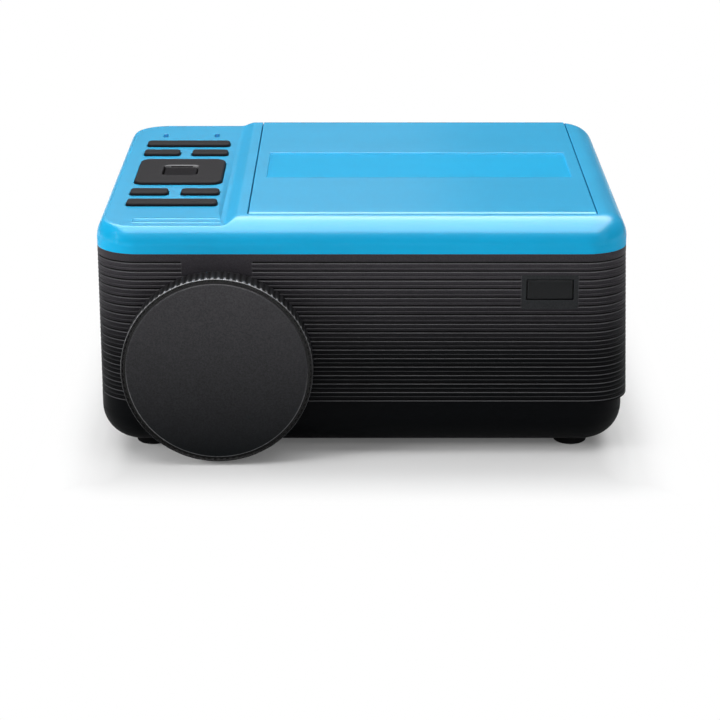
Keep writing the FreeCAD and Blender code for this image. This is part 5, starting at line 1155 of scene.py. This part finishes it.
dress(moulded("turned_brass", (0.52, 0.36, 0.13), 0.3, mottle=0.12, pits=1100.0, depth=0.05,
              spread=0.2, worn=(0.8, 0.62, 0.3), Metallic=1.0), "tripod_insert")


# ---- disc deck and drive -------------------------------------------------------------------------
# Black deck with its round well under the lid; a chassis on rubber dampers carries the motor, the
# turntable and the laser sled on two polished rods.

deck_black = moulded("deck_black", (0.009, 0.009, 0.0098), 0.5, mottle=0.1, pits=2800.0, depth=0.2,
                     speckle=0.15, worn=(0.03, 0.03, 0.03), Specular_IOR_Level=0.12)
dress(deck_black, "disc_deck", "turntable", "lid_latch_plunger", "pad_pivot")
dress(moulded("chassis_grey", (0.035, 0.036, 0.04), 0.5, mottle=0.08, pits=2000.0, depth=0.2,
              worn=(0.1, 0.1, 0.1)), "traverse_chassis", "pickup_sled")
dress(moulded("damper_rubber", (0.012, 0.012, 0.013), 0.75, mottle=0.2, pits=1200.0, depth=0.5),
      "traverse_dampers")
dress(moulded("motor_can", (0.5, 0.5, 0.5), 0.36, mottle=0.08, pits=700.0, depth=0.06, spread=0.25,
              Metallic=1.0), "spindle_motor", "sled_motor")


# ---- lens and light engine -----------------------------------------------------------------------
# Black barrel with two coated lenses behind the cap; behind it a sealed black box with the panel,
# the field lenses, the condenser, the lamp on its finned cooler, and a fan at the rear.

barrel_black = moulded("barrel_black", (0.01, 0.01, 0.011), 0.3, mottle=0.08, pits=3200.0, depth=0.08,
                       worn=(0.05, 0.05, 0.05), Specular_IOR_Level=0.5)
dress(barrel_black, "lens_barrel", "ring_retainer", "lens_retainer")
dress(moulded("engine_black", (0.011, 0.011, 0.012), 0.55, mottle=0.1, pits=1800.0, depth=0.3,
              worn=(0.04, 0.04, 0.04)), "optical_box", "condenser_holder", "fan_frame", "fan_rotor")
dress(moulded("cooler_aluminium", (0.55, 0.56, 0.57), 0.35, mottle=0.06, pits=600.0, depth=0.1,
              spread=0.25, worn=(0.8, 0.8, 0.8), Metallic=1.0), "heat_sink")


def glassy(name, colour, rough, ior=1.52, weight=1.0):
    """Clear piece: transmitting shader whose gloss the grain group makes slightly dusty."""
    material = moulded(name, colour, rough, mottle=0.02, pits=400.0, depth=0.01, spread=0.05,
                       worn=colour, share=0.0)
    bsdf = material.node_tree.nodes["Principled BSDF"]
    bsdf.inputs["Transmission Weight"].default_value = weight
    bsdf.inputs["IOR"].default_value = ior
    return material


dress(glassy("coated_glass", (0.86, 0.92, 1.0), 0.02), "front_lens", "rear_lens", "condenser_lens")
dress(glassy("clear_plastic", (0.93, 0.95, 0.95), 0.12, 1.49), "fresnel_lenses")
dress(glassy("panel_glass", (0.25, 0.27, 0.3), 0.08, 1.52, 0.6), "lcd_panel")


# ---- boards, sockets and speaker -----------------------------------------------------------------
# Green boards with their tracks under the lacquer, plated sockets in a recessed black panel at the
# rear, the mains inlet, and a small paper-cone speaker behind the grille.

tracks, taken, given = socketed_group(
    "lacquered_tracks", [("Lacquer", "Color", (0.01, 0.09, 0.03, 1)),
                         ("Copper", "Color", (0.05, 0.2, 0.06, 1)), ("Pitch", "Float", 260.0)],
    [("Colour", "Color")])
place = node(tracks, "TexCoord").outputs["Object"]
cells = node(tracks, "TexVoronoi", [("Vector", place), ("Scale", taken.outputs["Pitch"])],
             distance="CHEBYCHEV", feature="F1").outputs["Distance"]
lines = remap(tracks, cells, (0.3, 0.34))
tone = blended(tracks, lines, taken.outputs["Lacquer"], taken.outputs["Copper"])
tracks.links.new(tone, given.inputs["Colour"])
board_green = moulded("board_green", (0.01, 0.09, 0.03), 0.35, mottle=0.05, pits=900.0, depth=0.05)
tree = board_green.node_tree
lacquer = node(tree, "Group", node_tree=tracks)
skin = next(n for n in tree.nodes if n.type == "GROUP" and n.node_tree == grain)
tree.links.new(lacquer.outputs["Colour"], skin.inputs["Colour"])
dress(board_green, "main_board", "power_board", "control_board", "ir_receiver")
dress(moulded("lamp_board", (0.6, 0.6, 0.58), 0.4, mottle=0.05, pits=900.0, depth=0.05), "lamp_board")
dress(moulded("switch_black", (0.015, 0.015, 0.016), 0.45, mottle=0.1, pits=2400.0, depth=0.1),
      "tact_switches")
port_black = moulded("port_black", (0.008, 0.008, 0.0085), 0.42, mottle=0.08, pits=3000.0, depth=0.15,
                     speckle=0.2, worn=(0.03, 0.03, 0.03), Specular_IOR_Level=0.35)
dress(port_black, "rear_port_panel", "mains_inlet", "card_slot", "audio_jacks")
dress(moulded("plated_sockets", (0.62, 0.6, 0.56), 0.28, mottle=0.08, pits=800.0, depth=0.04,
              spread=0.2, Metallic=1.0), "hdmi_sockets", "usb_socket")
dress(moulded("paper_cone", (0.02, 0.019, 0.018), 0.85, mottle=0.2, pits=700.0, depth=0.6), "speaker")
